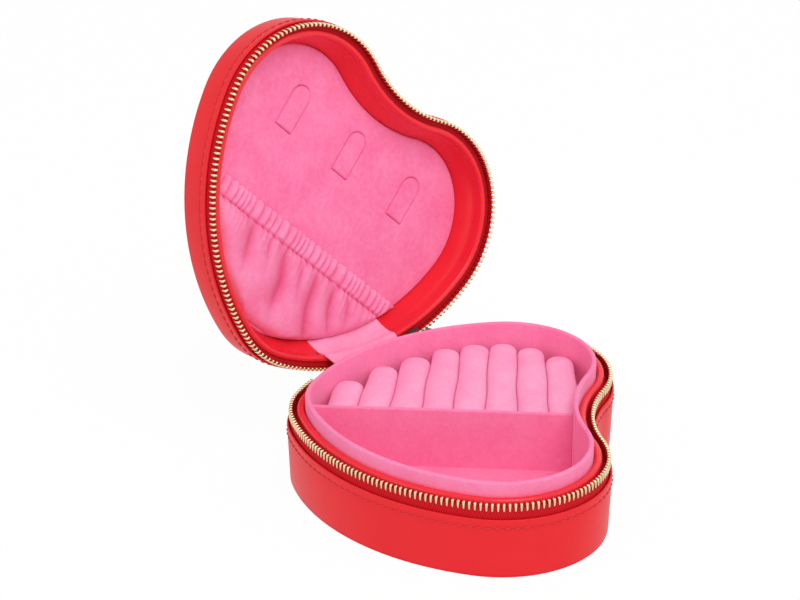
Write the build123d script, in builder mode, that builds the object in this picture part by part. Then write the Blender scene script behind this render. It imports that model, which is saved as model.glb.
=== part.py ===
"""Heart-shaped jewellery box with a zip round its side, shown with its lid open.

The base, the tray with its ring rolls, the lid with its lining, and the zip are separate pieces.
The hinge line runs along X at the back, the box stands on Z = 0, and the lid is built where it stands open.
"""
import os
from math import atan2, cos, degrees, hypot, radians, sin, sqrt

from build123d import *

os.makedirs("parts", exist_ok=True)

# Heart outline in plan, of tangent arcs, at the outer face of the wall's upper edge
tip_radius = 45.0
lobe_forward = 54.8
lobe_apart = 42.7
lobe_radius = 50.2
flank_radius = 115.6
cleft_radius = 70.0
origin_forward = 30.0
hinge_turn = 45.4

# Layers of the walls, from the outside in
cover_thickness = 1.0
base_lean = 1.2
lid_lean = 1.1
glue_gap = 0.1
board_thickness = 2.3
frame_width = 3.6
tray_clearance = 0.3
tray_thickness = 2.2
tray_rim_radius = 0.9
tray_fit = 0.1

# Heights in the base: its wall, then steps up from the wall's edge and down from the tray's rim
bottom_board_thickness = 2.0
base_edge_height = 28.9
board_drop = 0.5
hinge_rise = 1.5
frame_rise = 0.6
frame_round = 1.6
tray_rise = 6.1
tray_floor_thickness = 2.0
divider_drop = 8.1
divider_thickness = 2.2
divider_side = 2.2

# Ring rolls, fanned a little, from the divider to the back wall of the tray
roll_count = 8
roll_middle = 31.0
roll_front_pitch = 14.9
roll_back_pitch = 13.3
roll_gap = 0.25
roll_drop = 9.0
roll_depth = 14.2
roll_wall_gap = 0.4
roll_rise_share = 0.9
roll_fan_depth = 80.0
roll_station_shares = (0.0, 0.45, 0.84, 0.94, 1.0)
roll_end_drop_shares = (0.0, 0.0, 0.06, 0.2, 0.5)

# Steps up through the lid, as it stands when it is shut on the base
lid_board_thickness = 2.0
lip_gap = 1.0
lip_inset = 7.6
lip_round = 1.2
slope_clearance = 0.7
panel_depth = 13.6
panel_thickness = 2.8
panel_inset = 12.3
panel_fit = 0.15
panel_top_gap = 0.1

# Hinge line and how far the lid opens
hinge_inset = 4.7
open_angle = 97.0
spine_half_width = 19.0
spine_hem = 6.6
spine_thickness = 0.7
spine_gap = 0.2
lining_half_width = 20.0
lining_shift = -2.0
lining_thickness = 0.6
lining_lift = 0.6
lining_start_inset = 8.0
lining_edge_inset = 5.4
lining_lip_step = 0.9
fold_station_shares = (-1.0, -0.5, 0.0, 0.5, 1.0)
fold_in_share = 0.55
fold_up_share = 0.3
fold_under_share = 0.05
fold_middle_share = 0.5
fold_turn = 0.25
fold_drop = 0.65

# Zip: tapes sewn behind the covers, and two rows of teeth that mesh when the lid is shut
tape_inset = 1.5
tape_thickness = 0.6
tape_hem = 7.4
tooth_height = 3.6
tooth_grip = 1.6
tooth_depth = 2.0
tooth_width = 1.0
tooth_pitch = 2.5
tooth_clearance = 0.1
tape_show = 3.7
row_step = 2.0
base_tape_cut_rise = 1.6
spine_tape_drop = 0.7
base_row_gap = 39.0
lid_row_left_gap = 23.0
lid_row_right_gap = 33.0
lid_tape_cut_rise = 0.9
stop_length = 3.0
stop_gap = 0.4

# Zip slider and its pull, at the end of the row beside the hinge
slider_place = 28.0
slider_length = 9.0
slider_plate = 1.0
slider_inner_plate = 0.5
slider_drop = 2.5
slider_outer_rise = 3.2
slider_inner_rise = 1.2
slider_outer_clearance = 0.25
slider_inner_clearance = 0.6
slider_post = 0.55
slider_post_length = 5.0
ear_drop = 1.0
ear_length = 2.4
ear_width = 0.7
ear_reach = 2.2
pin_diameter = 1.0
pin_clearance = 0.2
eye_diameter = 2.4
pull_gap = 0.15
pull_length = 14.0
pull_neck = 2.6
pull_width = 5.0
pull_thickness = 1.0

# Necklace tabs cut into the lining panel, and the gathered pocket below them
tab_front_side = 43.8
tab_middle_side = 1.2
tab_back_side = 41.8
tab_root = 52.0
tab_length = 22.4
tab_half_width = 5.6
tab_thickness = 1.3
tab_clearance = 0.2
tab_bed_gap = 0.15
pocket_inset = 13.0
pocket_mouth = 8.2
casing_width = 9.2
casing_thickness = 2.0
casing_gap = 0.2
pocket_tip_gap = 1.4
pocket_seat_gap = 0.1
pocket_folds = 6
pocket_depth = 5.0
pocket_hem = 0.8
pocket_station_shares = (0.0, 0.25, 0.5, 0.75, 1.0)
pocket_crest_shares = (0.5, 0.95, 1.0, 0.75, 0.25)
pocket_valley_share = 0.45

overrun = 10.0

# Heights that follow from the steps, from the base's edge up through the zip and the lid
base_teeth_height = base_edge_height + tape_show + tooth_height / 2
lid_teeth_height = base_teeth_height + row_step
hinge_height = base_teeth_height + hinge_rise
frame_height = hinge_height + frame_rise
tray_height = frame_height + tray_rise
divider_height = tray_height - divider_drop
roll_top_height = tray_height - roll_drop
ring_bed_height = roll_top_height - roll_depth
base_tape_cut_height = base_edge_height + base_tape_cut_rise
lid_edge_height = lid_teeth_height + tooth_height / 2 + tooth_clearance
lid_tape_cut_height = lid_edge_height + lid_tape_cut_rise
lip_height = frame_height + lip_gap
slope_height = tray_height + slope_clearance
panel_height = lip_height + panel_depth
lid_board_top = panel_height + panel_thickness + panel_top_gap
lid_top_foot = lid_board_top + lid_board_thickness
lid_height = lid_top_foot + cover_thickness
slider_low_height = lid_teeth_height - slider_drop
slider_outer_height = lid_teeth_height + slider_outer_rise
slider_inner_height = lid_teeth_height + slider_inner_rise
ear_foot_height = lid_teeth_height - ear_drop
tab_places = (-tab_front_side, -tab_middle_side, tab_back_side)

# Angles at which the heart's arcs meet, in heart coordinates: p from tip to cleft, q across
lobe_reach = hypot(lobe_forward, lobe_apart)
tip_link = flank_radius - tip_radius
lobe_link = flank_radius - lobe_radius
along_link = (tip_link**2 - lobe_link**2 + lobe_reach**2) / (2 * lobe_reach)
across_link = sqrt(tip_link**2 - along_link**2)
flank_p = (along_link * lobe_forward + across_link * lobe_apart) / lobe_reach
flank_q = (along_link * lobe_apart - across_link * lobe_forward) / lobe_reach
cleft_p = lobe_forward + sqrt((lobe_radius + cleft_radius) ** 2 - lobe_apart**2)
tip_angle = degrees(atan2(-flank_q, -flank_p))
lobe_angle = degrees(atan2(lobe_apart - flank_q, lobe_forward - flank_p))
cleft_angle = degrees(atan2(lobe_apart, cleft_p - lobe_forward))
hinge_angle = 90 + hinge_turn


def heart_arcs(inset):
    """The outline's arcs in order, each as centre, radius, start angle and angular size."""
    lobe_sweep = lobe_angle + cleft_angle
    flank_sweep = tip_angle - lobe_angle
    return [
        ((lobe_forward, lobe_apart), lobe_radius - inset, -cleft_angle, lobe_sweep),
        ((flank_p, flank_q), flank_radius - inset, lobe_angle, flank_sweep),
        ((0, 0), tip_radius - inset, tip_angle, 360 - 2 * tip_angle),
        ((flank_p, -flank_q), flank_radius - inset, -tip_angle, flank_sweep),
        ((lobe_forward, -lobe_apart), lobe_radius - inset, -lobe_angle, lobe_sweep),
        ((cleft_p, 0), cleft_radius + inset, 180 + cleft_angle, -2 * cleft_angle),
    ]


def heart(inset):
    """The heart's face, drawn in from the outer wall by an inset."""
    with BuildSketch() as outline:
        with BuildLine():
            for centre, radius, start, size in heart_arcs(inset):
                CenterArc(centre, radius, start, size)
        make_face()
    return outline.sketch


def half_width(p, inset):
    """How far the outline's back half stands from the heart's axis, at a place along that axis."""
    join_p = (tip_radius - inset) * cos(radians(tip_angle))
    lobe_p = lobe_forward + (lobe_radius - inset) * cos(radians(lobe_angle))
    if p < join_p:
        return sqrt((tip_radius - inset) ** 2 - p**2)
    if p < lobe_p:
        return flank_q + sqrt((flank_radius - inset) ** 2 - (p - flank_p) ** 2)
    return lobe_apart + sqrt((lobe_radius - inset) ** 2 - (p - lobe_forward) ** 2)


def chain_places(inset, first, last_gap, shift_share):
    """Places along the zip, by distance round the outline from the hinge's middle towards the tip."""
    arcs = heart_arcs(inset)
    centre, radius, start, size = arcs[1]
    before = (centre, radius, hinge_angle, start + size - hinge_angle)
    after = (centre, radius, start, hinge_angle - start)
    spans = [before] + arcs[2:] + arcs[:1] + [after]
    lengths = [radius * radians(abs(size)) for centre, radius, start, size in spans]
    places = []
    distance = tooth_pitch * shift_share
    while distance < sum(lengths) - last_gap:
        rest = distance
        number = 0
        while rest > lengths[number]:
            rest = rest - lengths[number]
            number = number + 1
        centre, radius, start, size = spans[number]
        angle = start + size * rest / lengths[number]
        p = centre[0] + radius * cos(radians(angle))
        q = centre[1] + radius * sin(radians(angle))
        if distance >= first:
            places.append(Location((p, q, 0), (0, 0, angle)))
        distance = distance + tooth_pitch
    return places


# Planes that carry the base and the open lid: local x runs from tip to cleft, local z is the height when shut
axis_x = cos(radians(hinge_turn))
axis_y = sin(radians(hinge_turn))
tip_x = -axis_x * origin_forward
tip_y = axis_y * origin_forward
base_plane = Plane(origin=(tip_x, tip_y, 0), x_dir=(axis_x, -axis_y, 0), z_dir=(0, 0, 1))
hinge_x = axis_x * (flank_p - origin_forward) + axis_y * flank_q
back_y = axis_x * flank_q - axis_y * (flank_p - origin_forward) + flank_radius
hinge_y = back_y - hinge_inset
open_cos = cos(radians(open_angle))
open_sin = sin(radians(open_angle))


def swing(y, z):
    """A point of the shut lid, taken to where it stands when the lid is open."""
    out = y - hinge_y
    up = z - hinge_height
    return (hinge_y + out * open_cos + up * open_sin, hinge_height - out * open_sin + up * open_cos)


lid_origin_y, lid_origin_z = swing(tip_y, 0)
lid_plane = Plane(
    origin=(tip_x, lid_origin_y, lid_origin_z),
    x_dir=(axis_x, -axis_y * open_cos, axis_y * open_sin),
    z_dir=(0, open_sin, open_cos),
)
lid_up = Axis(lid_plane.origin, lid_plane.z_dir)

# Insets that the layers share
board_inset = cover_thickness + base_lean + glue_gap
frame_inset = board_inset + board_thickness + glue_gap
tray_inset = frame_inset + frame_width + tray_clearance
tray_inner_inset = tray_inset + tray_thickness
tray_content_inset = tray_inner_inset + tray_fit
tooth_inset = tape_inset + tape_thickness / 2
tray_foot = cover_thickness + bottom_board_thickness
tray_floor_top = tray_foot + tray_floor_thickness
base_tape_edge = base_teeth_height - tooth_height / 2 + tooth_grip
lid_tape_edge = lid_teeth_height + tooth_height / 2 - tooth_grip
lid_board_foot = lid_edge_height + board_drop
heart_length = tip_radius + lobe_forward + lobe_radius


def lean_inset(height):
    """How far the lid's leaning wall has drawn in at a height."""
    return lid_lean * (height - lid_edge_height) / (lid_height - lid_edge_height)


# Base: bottom cover, bottom board, wall board and the red cover round the wall
with BuildPart() as base_bottom_cover:
    with BuildSketch(base_plane):
        add(heart(base_lean))
    extrude(amount=cover_thickness)
base_bottom_cover.part.label = "base_bottom_cover"
export_step(base_bottom_cover.part, "parts/base_bottom_cover.step")

with BuildPart() as base_bottom_board:
    with BuildSketch(base_plane.offset(cover_thickness)):
        add(heart(board_inset))
    extrude(amount=bottom_board_thickness)
base_bottom_board.part.label = "base_bottom_board"
export_step(base_bottom_board.part, "parts/base_bottom_board.step")

with BuildPart() as base_wall_board:
    with BuildSketch(base_plane.offset(tray_foot)):
        add(heart(board_inset))
        add(heart(board_inset + board_thickness), mode=Mode.SUBTRACT)
    extrude(amount=base_edge_height - board_drop - tray_foot)
base_wall_board.part.label = "base_wall_board"
export_step(base_wall_board.part, "parts/base_wall_board.step")

spine_low = base_edge_height - spine_hem
spine_high = lid_edge_height + spine_hem
spine_slot = 2 * (spine_half_width + spine_gap)

with BuildPart() as base_wall_cover:
    foot_inset = base_lean * (1 - cover_thickness / base_edge_height)
    with BuildSketch(base_plane.offset(cover_thickness)):
        add(heart(foot_inset))
    with BuildSketch(base_plane.offset(base_edge_height)):
        add(heart(0))
    loft(ruled=True)
    with BuildSketch(base_plane.offset(cover_thickness)):
        add(heart(foot_inset + cover_thickness))
    with BuildSketch(base_plane.offset(base_edge_height)):
        add(heart(cover_thickness))
    loft(ruled=True, mode=Mode.SUBTRACT)
    with Locations((hinge_x, back_y, spine_low - spine_gap)):
        Box(
            spine_slot,
            2 * overrun,
            spine_hem + overrun,
            align=(Align.CENTER, Align.CENTER, Align.MIN),
            mode=Mode.SUBTRACT,
        )
base_wall_cover.part.label = "base_wall_cover"
export_step(base_wall_cover.part, "parts/base_wall_cover.step")

with BuildPart() as base_inner_frame:
    with BuildSketch(base_plane.offset(tray_foot)):
        add(heart(frame_inset))
        add(heart(frame_inset + frame_width), mode=Mode.SUBTRACT)
    extrude(amount=frame_height - tray_foot)
    fillet(base_inner_frame.faces().sort_by(Axis.Z)[-1].edges(), radius=frame_round)
base_inner_frame.part.label = "base_inner_frame"
export_step(base_inner_frame.part, "parts/base_inner_frame.step")

# Tray: velvet wall, floor, divider along the heart's axis and the bed under the ring rolls
with BuildPart() as tray_wall:
    with BuildSketch(base_plane.offset(tray_foot)):
        add(heart(tray_inset))
        add(heart(tray_inner_inset), mode=Mode.SUBTRACT)
    extrude(amount=tray_height - tray_foot)
    fillet(tray_wall.faces().sort_by(Axis.Z)[-1].edges(), radius=tray_rim_radius)
tray_wall.part.label = "tray_wall"
export_step(tray_wall.part, "parts/tray_wall.step")

with BuildPart() as tray_floor:
    with BuildSketch(base_plane.offset(tray_foot)):
        add(heart(tray_content_inset))
    extrude(amount=tray_floor_thickness)
tray_floor.part.label = "tray_floor"
export_step(tray_floor.part, "parts/tray_floor.step")

with BuildPart() as tray_divider:
    with BuildSketch(base_plane.offset(tray_floor_top)):
        add(heart(tray_content_inset))
        with Locations((0, divider_side)):
            Rectangle(2 * heart_length, divider_thickness, mode=Mode.INTERSECT)
    extrude(amount=divider_height - tray_floor_top)
tray_divider.part.label = "tray_divider"
export_step(tray_divider.part, "parts/tray_divider.step")

roll_front = divider_side + divider_thickness / 2 + roll_gap

with BuildPart() as ring_bed:
    with BuildSketch(base_plane.offset(tray_floor_top)):
        add(heart(tray_content_inset))
        with Locations((0, roll_front)):
            Rectangle(
                2 * heart_length, heart_length, align=(Align.CENTER, Align.MIN), mode=Mode.INTERSECT
            )
    extrude(amount=ring_bed_height - tray_floor_top)
ring_bed.part.label = "ring_bed"
export_step(ring_bed.part, "parts/ring_bed.step")


def roll_pitch(q):
    """The rolls' spacing, which narrows towards the back of the tray."""
    return roll_front_pitch + (roll_back_pitch - roll_front_pitch) * (q - roll_front) / roll_fan_depth


# Ring rolls: domed foam rolls side by side, lofted from the divider back and trimmed to the tray
roll_foot = ring_bed_height + tray_fit
for number in range(roll_count):
    step = number - (roll_count - 1) / 2
    front_q = half_width(roll_middle + roll_front_pitch * step, tray_inner_inset + roll_wall_gap)
    back_q = half_width(roll_middle + roll_pitch(front_q) * step, tray_inner_inset + roll_wall_gap)
    with BuildPart() as ring_roll:
        for along_share, drop_share in zip(roll_station_shares, roll_end_drop_shares):
            q = roll_front + (back_q - roll_front) * along_share
            p = roll_middle + roll_pitch(q) * step
            half = (roll_pitch(q) - roll_gap) / 2
            crown = roll_top_height - (roll_top_height - roll_foot) * drop_share
            shoulder = max(crown - half * roll_rise_share, (roll_foot + crown) / 2)
            origin = base_plane.from_local_coords((p, q, 0))
            with BuildSketch(Plane(origin=origin, x_dir=base_plane.x_dir, z_dir=-base_plane.y_dir)):
                with BuildLine():
                    Polyline((-half, shoulder), (-half, roll_foot), (half, roll_foot), (half, shoulder))
                    ThreePointArc((half, shoulder), (0, crown), (-half, shoulder))
                make_face()
        loft(ruled=True)
        with BuildSketch(base_plane.offset(ring_bed_height)):
            add(heart(tray_inner_inset + roll_wall_gap))
        extrude(amount=roll_top_height, mode=Mode.INTERSECT)
    name = f"ring_roll_{number + 1}"
    ring_roll.part.label = name
    export_step(ring_roll.part, f"parts/{name}.step")

# Base zip tape and its row of teeth; the tape is cut low across the hinge
with BuildPart() as base_zip_tape:
    with BuildSketch(base_plane.offset(base_edge_height - tape_hem)):
        add(heart(tape_inset))
        add(heart(tape_inset + tape_thickness), mode=Mode.SUBTRACT)
    extrude(amount=base_tape_edge - base_edge_height + tape_hem)
    spine_cut_height = base_edge_height - spine_tape_drop
    for cut_width, cut_height in ((2 * base_row_gap, base_tape_cut_height), (spine_slot, spine_cut_height)):
        with Locations((hinge_x, back_y, cut_height)):
            Box(
                cut_width,
                2 * overrun,
                2 * overrun,
                align=(Align.CENTER, Align.CENTER, Align.MIN),
                mode=Mode.SUBTRACT,
            )
base_zip_tape.part.label = "base_zip_tape"
export_step(base_zip_tape.part, "parts/base_zip_tape.step")

tooth_slot = tape_thickness + 2 * glue_gap
with BuildPart(base_plane.offset(base_teeth_height)) as base_zip_teeth:
    with Locations(*chain_places(tooth_inset, base_row_gap, base_row_gap, 0)):
        Box(tooth_depth, tooth_width, tooth_height)
    with BuildSketch(base_plane.offset(base_teeth_height - tooth_height)):
        add(heart(tooth_inset - tooth_slot / 2))
        add(heart(tooth_inset + tooth_slot / 2), mode=Mode.SUBTRACT)
    extrude(amount=base_tape_edge + glue_gap - base_teeth_height + tooth_height, mode=Mode.SUBTRACT)
base_zip_teeth.part.label = "base_zip_teeth"
export_step(base_zip_teeth.part, "parts/base_zip_teeth.step")

# Lid: top cover, top board, wall board and the red cover round the wall
with BuildPart() as lid_top_cover:
    with BuildSketch(lid_plane.offset(lid_top_foot)):
        add(heart(lid_lean))
    extrude(amount=cover_thickness)
lid_top_cover.part.label = "lid_top_cover"
export_step(lid_top_cover.part, "parts/lid_top_cover.step")

with BuildPart() as lid_top_board:
    with BuildSketch(lid_plane.offset(lid_board_top)):
        add(heart(board_inset))
    extrude(amount=lid_board_thickness)
lid_top_board.part.label = "lid_top_board"
export_step(lid_top_board.part, "parts/lid_top_board.step")

with BuildPart() as lid_wall_board:
    with BuildSketch(lid_plane.offset(lid_board_foot)):
        add(heart(board_inset))
        add(heart(board_inset + board_thickness), mode=Mode.SUBTRACT)
    extrude(amount=lid_board_top - lid_board_foot)
lid_wall_board.part.label = "lid_wall_board"
export_step(lid_wall_board.part, "parts/lid_wall_board.step")

spine_slot_y, spine_slot_z = swing(back_y, spine_high + spine_gap)
spine_slot_plane = Plane(
    origin=(hinge_x, spine_slot_y, spine_slot_z), x_dir=(1, 0, 0), z_dir=-lid_plane.z_dir
)
with BuildPart() as lid_wall_cover:
    head_inset = lean_inset(lid_top_foot)
    with BuildSketch(lid_plane.offset(lid_edge_height)):
        add(heart(0))
    with BuildSketch(lid_plane.offset(lid_top_foot)):
        add(heart(head_inset))
    loft(ruled=True)
    with BuildSketch(lid_plane.offset(lid_edge_height)):
        add(heart(cover_thickness))
    with BuildSketch(lid_plane.offset(lid_top_foot)):
        add(heart(head_inset + cover_thickness))
    loft(ruled=True, mode=Mode.SUBTRACT)
    with BuildSketch(spine_slot_plane):
        Rectangle(spine_slot, 2 * overrun)
    extrude(amount=spine_hem + overrun, mode=Mode.SUBTRACT)
lid_wall_cover.part.label = "lid_wall_cover"
export_step(lid_wall_cover.part, "parts/lid_wall_cover.step")

# Lid's inner band: a rounded lip that meets the base's, a wall that clears the tray, then a red slope to the panel
with BuildPart() as lid_inner_band:
    with BuildSketch(lid_plane.offset(lip_height)):
        add(heart(frame_inset))
    extrude(amount=lid_board_top - lip_height)
    with BuildSketch(lid_plane.offset(lip_height)):
        add(heart(lip_inset))
    extrude(amount=slope_height - lip_height, mode=Mode.SUBTRACT)
    with BuildSketch(lid_plane.offset(slope_height)):
        add(heart(lip_inset))
    with BuildSketch(lid_plane.offset(panel_height)):
        add(heart(panel_inset))
    loft(ruled=True, mode=Mode.SUBTRACT)
    with BuildSketch(lid_plane.offset(panel_height)):
        add(heart(panel_inset))
    extrude(amount=lid_board_top - panel_height, mode=Mode.SUBTRACT)
    fillet(lid_inner_band.faces().sort_by(lid_up)[0].edges(), radius=lip_round)
lid_inner_band.part.label = "lid_inner_band"
export_step(lid_inner_band.part, "parts/lid_inner_band.step")


def tab_outline(place, growth):
    """A tongue with a straight root and a round free end, grown all round by a clearance."""
    root = tab_root - growth
    shoulder = tab_root + tab_length - tab_half_width
    half = tab_half_width + growth
    with BuildSketch() as tongue:
        with BuildLine():
            Polyline((shoulder, place - half), (root, place - half), (root, place + half), (shoulder, place + half))
            ThreePointArc((shoulder, place + half), (shoulder + half, place), (shoulder, place - half))
        make_face()
    return tongue.sketch


# Lining panel with the beds of its three tabs, and the tabs
with BuildPart() as lid_panel:
    with BuildSketch(lid_plane.offset(panel_height)):
        add(heart(panel_inset + panel_fit))
    extrude(amount=panel_thickness)
    for place in tab_places:
        with BuildSketch(lid_plane.offset(panel_height)):
            add(tab_outline(place, tab_clearance))
        extrude(amount=tab_thickness + tab_bed_gap, mode=Mode.SUBTRACT)
lid_panel.part.label = "lid_panel"
export_step(lid_panel.part, "parts/lid_panel.step")

for number, place in enumerate(tab_places):
    with BuildPart() as necklace_tab:
        with BuildSketch(lid_plane.offset(panel_height)):
            add(tab_outline(place, 0))
        extrude(amount=tab_thickness)
    name = f"necklace_tab_{number + 1}"
    necklace_tab.part.label = name
    export_step(necklace_tab.part, f"parts/{name}.step")

# Gathered pocket at the tip: an elastic casing across the panel and the cloth below it, in soft folds
with BuildPart() as pocket_casing:
    with BuildSketch(lid_plane.offset(panel_height - pocket_seat_gap)):
        add(heart(pocket_inset))
        with Locations((pocket_mouth + casing_gap, 0)):
            Rectangle(
                casing_width, 2 * heart_length, align=(Align.MIN, Align.CENTER), mode=Mode.INTERSECT
            )
    extrude(amount=-casing_thickness)
pocket_casing.part.label = "pocket_casing"
export_step(pocket_casing.part, "parts/pocket_casing.step")

pocket_tip = pocket_inset + pocket_tip_gap - tip_radius
with BuildPart() as pocket_cloth:
    for along_share, crest_share in zip(pocket_station_shares, pocket_crest_shares):
        p = pocket_mouth + (pocket_tip - pocket_mouth) * along_share
        half = half_width(p, pocket_inset)
        crest = pocket_seat_gap + pocket_hem + pocket_depth * crest_share
        valley = pocket_seat_gap + pocket_hem + pocket_depth * crest_share * pocket_valley_share
        fold = 2 * half / pocket_folds
        origin = lid_plane.from_local_coords((p, 0, panel_height))
        with BuildSketch(Plane(origin=origin, x_dir=lid_plane.y_dir, z_dir=lid_plane.x_dir)):
            with BuildLine():
                Polyline((-half, -valley), (-half, -pocket_seat_gap), (half, -pocket_seat_gap), (half, -valley))
                for count in range(pocket_folds):
                    edge = half - fold * count
                    ThreePointArc((edge, -valley), (edge - fold / 2, -crest), (edge - fold, -valley))
            make_face()
    loft(ruled=True)
pocket_cloth.part.label = "pocket_cloth"
export_step(pocket_cloth.part, "parts/pocket_cloth.step")

# Lid zip tape, its row of teeth and the stop at the row's far end
lid_stop_gap = lid_row_left_gap - stop_gap - stop_length / 2
cut_y, cut_z = swing(back_y, lid_tape_cut_height)
tape_cut_plane = Plane(origin=(hinge_x, cut_y, cut_z), x_dir=(1, 0, 0), z_dir=-lid_plane.z_dir)
with BuildPart() as lid_zip_tape:
    with BuildSketch(lid_plane.offset(lid_tape_edge)):
        add(heart(tape_inset))
        add(heart(tape_inset + tape_thickness), mode=Mode.SUBTRACT)
    extrude(amount=lid_edge_height + tape_hem - lid_tape_edge)
    with BuildSketch(tape_cut_plane):
        Rectangle(spine_slot, 2 * overrun)
    extrude(amount=overrun, mode=Mode.SUBTRACT)
lid_zip_tape.part.label = "lid_zip_tape"
export_step(lid_zip_tape.part, "parts/lid_zip_tape.step")

with BuildPart(lid_plane.offset(lid_teeth_height)) as lid_zip_teeth:
    with Locations(*chain_places(tooth_inset, lid_row_left_gap, lid_row_right_gap, 0.5)):
        Box(tooth_depth, tooth_width, tooth_height)
    with BuildSketch(lid_plane.offset(lid_tape_edge - glue_gap)):
        add(heart(tooth_inset - tooth_slot / 2))
        add(heart(tooth_inset + tooth_slot / 2), mode=Mode.SUBTRACT)
    extrude(amount=tooth_height, mode=Mode.SUBTRACT)
lid_zip_teeth.part.label = "lid_zip_teeth"
export_step(lid_zip_teeth.part, "parts/lid_zip_teeth.step")


def ribbon(path, thickness):
    """The closed outline of a thin ribbon that follows a path of points, with half its thickness each side."""
    left = []
    right = []
    for number, (y, z) in enumerate(path):
        before = path[max(number - 1, 0)]
        after = path[min(number + 1, len(path) - 1)]
        run = hypot(after[0] - before[0], after[1] - before[1])
        side_y = (before[1] - after[1]) / run * thickness / 2
        side_z = (after[0] - before[0]) / run * thickness / 2
        left.append((y + side_y, z + side_z))
        right.append((y - side_y, z - side_z))
    return left + right[::-1]


def across_plane(x):
    """A plane across the hinge line, whose local x and y are the part's Y and Z."""
    return Plane(origin=(x, 0, 0), x_dir=(0, 1, 0), z_dir=(1, 0, 0))


def back_at(x):
    """Where the outer wall stands at a place along the hinge."""
    return back_y - flank_radius + sqrt(flank_radius**2 - (x - hinge_x) ** 2)


# Hinge spine: the outer leather that folds in between the base wall and the lid wall
with BuildPart() as hinge_spine:
    for station_share in fold_station_shares:
        x = hinge_x + spine_half_width * station_share
        skin = back_at(x) - cover_thickness / 2
        low = (skin - base_lean * spine_hem / base_edge_height, spine_low)
        edge = (skin, base_edge_height)
        lid_edge = swing(skin, lid_edge_height)
        lid_end = swing(skin - lean_inset(spine_high), spine_high)
        fold_out = edge[0] - lid_edge[0]
        fold_up = lid_edge[1] - edge[1]
        path = [
            low,
            edge,
            (edge[0] - fold_out * fold_in_share, edge[1] + fold_up * fold_up_share),
            (lid_edge[0] + fold_out * fold_under_share, edge[1] + fold_up * fold_middle_share),
            (lid_edge[0] - fold_turn, lid_edge[1] - fold_drop),
            lid_edge,
            lid_end,
        ]
        with BuildSketch(across_plane(x)):
            with BuildLine():
                Polyline(*ribbon(path, spine_thickness), close=True)
            make_face()
    loft(ruled=True)
hinge_spine.part.label = "hinge_spine"
export_step(hinge_spine.part, "parts/hinge_spine.step")

# Hinge lining: the velvet strip from the base's inner frame over the lid's lip to the panel, taut when open
slope_run = hypot(panel_inset - lip_inset, panel_height - slope_height)
slope_in = (panel_inset - lip_inset) / slope_run
slope_up = (panel_height - slope_height) / slope_run
lining_wall_inset = lip_inset + lining_lift
lining_bend_height = slope_height - lining_lift * (1 - slope_up) / slope_in
lining_end_inset = panel_inset + lining_lift * slope_up - lining_lip_step * slope_in
lining_end_height = panel_height - lining_lift * slope_in - lining_lip_step * slope_up
with BuildPart() as hinge_lining:
    for station_share in fold_station_shares:
        x = hinge_x + lining_shift + lining_half_width * station_share
        wall = back_at(x)
        path = [
            (wall - lining_start_inset, frame_height + lining_lift),
            (wall - lining_edge_inset, frame_height + lining_lift),
            swing(wall - lip_inset, lip_height - lining_lift),
            swing(wall - lining_wall_inset, lip_height + lining_lip_step),
            swing(wall - lining_wall_inset, lining_bend_height),
            swing(wall - lining_end_inset, lining_end_height),
        ]
        with BuildSketch(across_plane(x)):
            with BuildLine():
                Polyline(*ribbon(path, lining_thickness), close=True)
            make_face()
    loft(ruled=True)
hinge_lining.part.label = "hinge_lining"
export_step(hinge_lining.part, "parts/hinge_lining.step")

# Zip slider on the lid's row, beside the hinge: two plates, the post between them and the ears for the pull
slider_angle = hinge_angle - degrees(slider_place / flank_radius)
slider_radial = cos(radians(slider_angle)), sin(radians(slider_angle))
slider_zero = (flank_p + flank_radius * slider_radial[0], flank_q + flank_radius * slider_radial[1], 0)
slider_plane = Plane(
    origin=lid_plane.from_local_coords(slider_zero),
    x_dir=lid_plane.x_dir * slider_radial[1] - lid_plane.y_dir * slider_radial[0],
    z_dir=lid_plane.z_dir,
)
outer_face = slider_outer_clearance
inner_face = -(tooth_inset + tooth_depth / 2 + slider_inner_clearance)
pin_reach = outer_face + slider_plate + pull_gap + eye_diameter / 2
ear_low = ear_foot_height + ear_width
ear_high = slider_outer_height - ear_width
with BuildPart() as zip_slider:
    with BuildSketch(slider_plane.offset(slider_low_height)):
        with Locations((0, outer_face)):
            Rectangle(slider_length, slider_plate, align=(Align.CENTER, Align.MIN))
    extrude(amount=slider_outer_height - slider_low_height)
    with BuildSketch(slider_plane.offset(slider_low_height)):
        with Locations((0, inner_face)):
            Rectangle(slider_length, slider_inner_plate, align=(Align.CENTER, Align.MAX))
    extrude(amount=slider_inner_height - slider_low_height)
    with BuildSketch(slider_plane.offset(slider_low_height)):
        with Locations((0, inner_face)):
            Rectangle(slider_post_length, outer_face - inner_face, align=(Align.CENTER, Align.MIN))
    extrude(amount=slider_post)
    for ear_foot in (ear_foot_height, ear_high):
        with BuildSketch(slider_plane.offset(ear_foot)):
            with Locations((0, outer_face + slider_plate)):
                Rectangle(ear_length, ear_reach, align=(Align.CENTER, Align.MIN))
        extrude(amount=ear_width)
    with BuildSketch(slider_plane.offset(ear_low)):
        with Locations((0, pin_reach)):
            Circle(pin_diameter / 2)
    extrude(amount=ear_high - ear_low)
zip_slider.part.label = "zip_slider"
export_step(zip_slider.part, "parts/zip_slider.step")

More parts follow.
